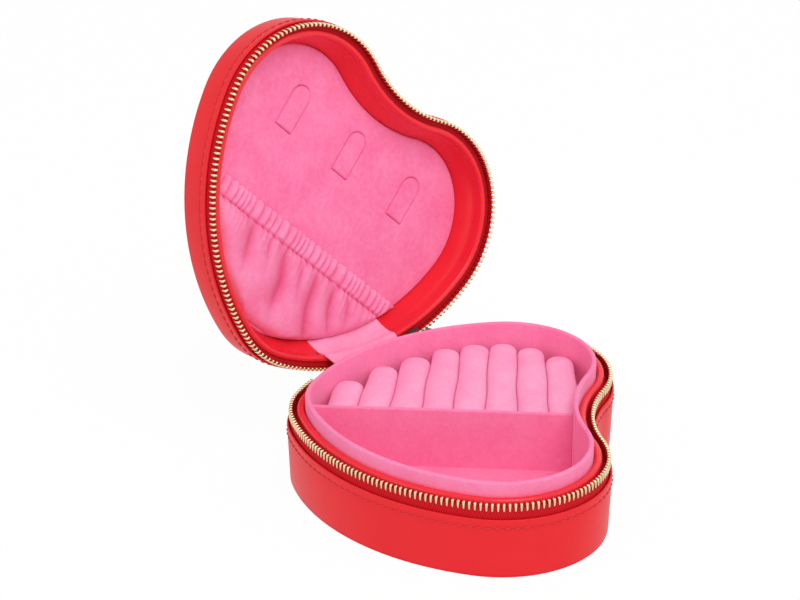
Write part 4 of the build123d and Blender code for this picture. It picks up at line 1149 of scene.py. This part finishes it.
def circle(radius):
    """A round outline about the pin, along and outwards."""
    turn = np.linspace(0, 2 * pi, 16, endpoint=False)
    return np.stack([radius * np.cos(turn), PIN_OUT + radius * np.sin(turn)], 1)


def wire(path, radius, sides=8):
    """A closed round wire along a path of the slider's coordinates."""
    way = np.gradient(path, axis=0)
    way /= np.linalg.norm(way, axis=1, keepdims=True)
    across = np.cross(way, (0.0, 1.0, 0.0))
    across /= np.linalg.norm(across, axis=1, keepdims=True)
    up = np.cross(way, across)
    turn = np.linspace(0, 2 * pi, sides, endpoint=False)[:, None]
    around = across[:, None] * np.cos(turn) + up[:, None] * np.sin(turn)
    return loft(path[:, None] + radius * around, on_slider)


plate_corners = [
    (-SLIDER_HALF, SLIDER_LOW, 0.9),
    (SLIDER_HALF, SLIDER_LOW, 1.2),
    (SLIDER_HALF, SLIDER_HIGH, 1.6),
]
outer_plate = rounded([*plate_corners, (1.5, SLIDER_HIGH, 0.5), (-SLIDER_HALF, 38.6, 1.6)])
inner_plate = rounded([*plate_corners, (-1.0, SLIDER_HIGH, 1.5), (-SLIDER_HALF, 37.2, 1.4)])
post = strip(-POST_HALF, POST_HALF, INNER_PLATE[1], POST_OUT, 0.2, 0.2, 3)
ear = strip(-EAR_HALF, EAR_HALF, EAR_ROOT, EAR_END, 0.2, 0.7, 4)
slider_shape = joined(
    slab(outer_plate, *OUTER_PLATE, OUTER_CHAMFER, upright=True),
    slab(inner_plate, *INNER_PLATE, INNER_CHAMFER, upright=True),
    slab(post, SLIDER_LOW, SLIDER_LOW + POST_TALL, SMALL_CHAMFER),
    slab(ear, LOW_EAR, LOW_EAR + EAR_THICK, EAR_CHAMFER),
    slab(ear, HIGH_EAR, HIGH_EAR + EAR_THICK, EAR_CHAMFER),
    slab(circle(PIN_RADIUS), LOW_EAR + EAR_THICK - PIN_IN, HIGH_EAR + PIN_IN, SMALL_CHAMFER),
)
show("zip_slider", slider_shape, dark_bronze, "slider", crease=35.0)
rim_path = smooth_path([(along, RIM_OUT, height) for along, height in RIM_LINE], 40)
show("zip_slider_edge", wire(rim_path, RIM_RADIUS), gold_rim_metal, "slider", [], crease=60.0)

# Zip pull: a flat tongue of the same bronze, cast in one with the neck and the round eye it hangs by.
# The slider's pin runs through the eye, and the pull hangs behind the slider.
EYE_LOW, EYE_HIGH, EYE_HOLE, EYE_RADIUS, EYE_CHAMFER = 36.3, 38.7, 0.7, 1.2, 0.1
NECK_LOW, NECK_HIGH, NECK_ROOT, NECK_END, NECK_ROUND = 36.6, 38.4, 0.9, 2.9, 0.1
PULL_INNER, PULL_OUTER, PULL_CHAMFER = 2.1, 3.1, 0.18
# Each corner of the tongue: its place along the chain, its height and its rounding.
PULL_CORNERS = (
    (2.4, NECK_LOW, 0.3),
    (2.4, NECK_HIGH, 0.3),
    (4.2, 38.6, 0.6),
    (5.4, 40.6, 0.8),
    (14.0, 41.0, 1.6),
    (14.0, 36.3, 1.6),
    (5.0, 36.3, 0.8),
)
face_radius = EYE_RADIUS - EYE_CHAMFER
eye_section = (
    (EYE_HOLE, EYE_LOW),
    (face_radius, EYE_LOW),
    (EYE_RADIUS, EYE_LOW + EYE_CHAMFER),
    (EYE_RADIUS, EYE_HIGH - EYE_CHAMFER),
    (face_radius, EYE_HIGH),
    (EYE_HOLE, EYE_HIGH),
)
eye_loops = np.array([np.insert(circle(radius), 2, level, axis=1) for radius, level in eye_section])
eye = on_slider(*eye_loops.reshape(-1, 3).T), wrapped(*eye_loops.shape[:2], True).tolist()
tongue_plate = slab(rounded(PULL_CORNERS, 4), PULL_INNER, PULL_OUTER, PULL_CHAMFER, upright=True)
neck_section = strip(NECK_ROOT, NECK_END, PULL_INNER, PULL_OUTER, NECK_ROUND, NECK_ROUND, 2)
neck = slab(neck_section, NECK_LOW, NECK_HIGH, SMALL_CHAMFER)
show("zip_pull", joined(tongue_plate, neck, eye), dark_bronze, "pull", crease=35.0)

# Zip stop: a small brass block clamped over the lid's tape, where its row of teeth ends at the hinge.
# It keeps the slider from running off the chain.
STOP_PLACE, STOP_HALF, STOP_DEPTH, STOP_ROUND = 21.1, 1.3, 1.0, 0.35
# Heights through the tape, with the share of the block's full section there.
STOP_LEVELS = ((-1.8, 0.8), (-1.5, 1.0), (1.5, 1.0), (1.8, 0.8))
stop_ends = (STOP_PLACE - STOP_HALF, STOP_PLACE + STOP_HALF)
stop_path, stop_out = outline_path(*stop_ends, TOOTH_INSET, LID_TEETH, on_lid, 0.4)
stop_spot, stop_out = stop_path[len(stop_path) // 2], stop_out[len(stop_path) // 2]
stop_way = stop_path[-1] - stop_path[0]
stop_way /= np.linalg.norm(stop_way)
stop_axes = np.stack([stop_way, stop_out, np.cross(stop_way, stop_out)])


def on_stop(along, out, up):
    """Places of the stop: along the chain, outwards and up through the tape."""
    return stop_spot + np.stack([along, out, up], -1) @ stop_axes / 1000


stop_section = strip(-STOP_HALF, STOP_HALF, -STOP_DEPTH, STOP_DEPTH, STOP_ROUND, STOP_ROUND, 3)
stop_sections = [[(x * share, y * share, level) for x, y in stop_section] for level, share in STOP_LEVELS]
show("zip_stop", loft(stop_sections, on_stop), tooth_brass, "lid", crease=35.0)

# Studio: a white floor, a broad soft lamp above the front and a strip lamp at each side for highlights.
# The camera stands where the photograph was taken from.
FLOOR_HALF, FLOOR_GLOW, SKY_LIGHT = 4.0, 0.97, 0.6
AZIMUTH, ELEVATION = radians(-41.14), radians(24.136)
LENS_MM, SENSOR_MM, CAMERA_PLACE = 130.04, 36.0, (-0.79931, -0.88023, 0.62314)
LAMP_TARGET = Vector((0, 0, 0.08))
# Each lamp: its name, its place, its width and height in metres, and its power in watts.
LAMPS = (
    ("front_lamp", (-0.4, -1.1, 1.8), (1.2, 1.2), 19.0),
    ("left_strip", (-1.4, 0.3, 0.5), (0.4, 1.2), 3.0),
    ("right_strip", (0.7, -1.2, 0.4), (0.4, 1.2), 1.5),
)


def seen_ray(tree):
    """1 for a ray from the camera, off a shiny surface or through glass, and 0 for any other."""
    ray = add_node(tree, "ShaderNodeLightPath").outputs
    direct = {0: ray["Is Camera Ray"], 1: ray["Is Glossy Ray"]}
    seen = add_node(tree, "ShaderNodeMath", {"operation": "MAXIMUM"}, direct)
    through = {0: seen, 1: ray["Is Transmission Ray"]}
    return add_node(tree, "ShaderNodeMath", {"operation": "MAXIMUM"}, through)


def studio_white():
    """White studio paper that the camera sees nearly shadeless, with the object's shadow kept on it."""
    finish, tree = new_finish("white studio paper")
    fleck_mm = 3
    _, _, tone = mottled(tree, fleck_mm, 2.0, "#F6F6F6", "#FAFAFA")
    matt = add_node(tree, "ShaderNodeBsdfDiffuse", inputs={"Color": tone})
    glow = add_node(tree, "ShaderNodeEmission", inputs={"Color": (1, 1, 1, 1), "Strength": 1.0})
    share = add_node(tree, "ShaderNodeMath", {"operation": "MULTIPLY"}, {0: seen_ray(tree), 1: FLOOR_GLOW})
    paper = add_node(tree, "ShaderNodeMixShader", inputs={0: share, 1: matt, 2: glow})
    add_node(tree, "ShaderNodeOutputMaterial", inputs={"Surface": paper})
    return finish


def set_up(name, data, spot, way):
    """Puts a lamp or the camera at a spot, looking along a way."""
    holder = bpy.data.objects.new(name, data)
    holder.location = spot
    holder.rotation_mode = "QUATERNION"
    holder.rotation_quaternion = way.to_track_quat("-Z", "Y")
    bpy.context.scene.collection.objects.link(holder)
    return holder


floor_mesh = bpy.data.meshes.new("studio_floor")
floor_corners = [(x * FLOOR_HALF, y * FLOOR_HALF, 0) for x, y in ((-1, -1), (1, -1), (1, 1), (-1, 1))]
floor_mesh.from_pydata(floor_corners, [], [(0, 1, 2, 3)])
floor_mesh.materials.append(studio_white())
floor = bpy.data.objects.new("studio_floor", floor_mesh)
bpy.context.scene.collection.objects.link(floor)

world = bpy.data.worlds.new("studio")
world.use_nodes = True
tree = world.node_tree
tree.nodes.clear()
soft = add_node(tree, "ShaderNodeBackground", inputs={"Color": (1, 1, 1, 1), "Strength": SKY_LIGHT})
white = add_node(tree, "ShaderNodeBackground", inputs={"Color": (1, 1, 1, 1), "Strength": 1.0})
sky = add_node(tree, "ShaderNodeMixShader", inputs={0: seen_ray(tree), 1: soft, 2: white})
add_node(tree, "ShaderNodeOutputWorld", inputs={"Surface": sky})
bpy.context.scene.world = world

for name, spot, size, watts in LAMPS:
    lamp = bpy.data.lights.new(name, "AREA")
    lamp.shape = "RECTANGLE"
    lamp.size, lamp.size_y = size
    lamp.energy = watts
    set_up(name, lamp, spot, LAMP_TARGET - Vector(spot))

lens = bpy.data.cameras.new("photo_camera")
lens.lens, lens.sensor_width = LENS_MM, SENSOR_MM
back_way = Vector((sin(AZIMUTH) * cos(ELEVATION), -cos(AZIMUTH) * cos(ELEVATION), sin(ELEVATION)))
bpy.context.scene.camera = set_up("photo_camera", lens, CAMERA_PLACE, -back_way)
bpy.context.scene.view_settings.view_transform = "Standard"
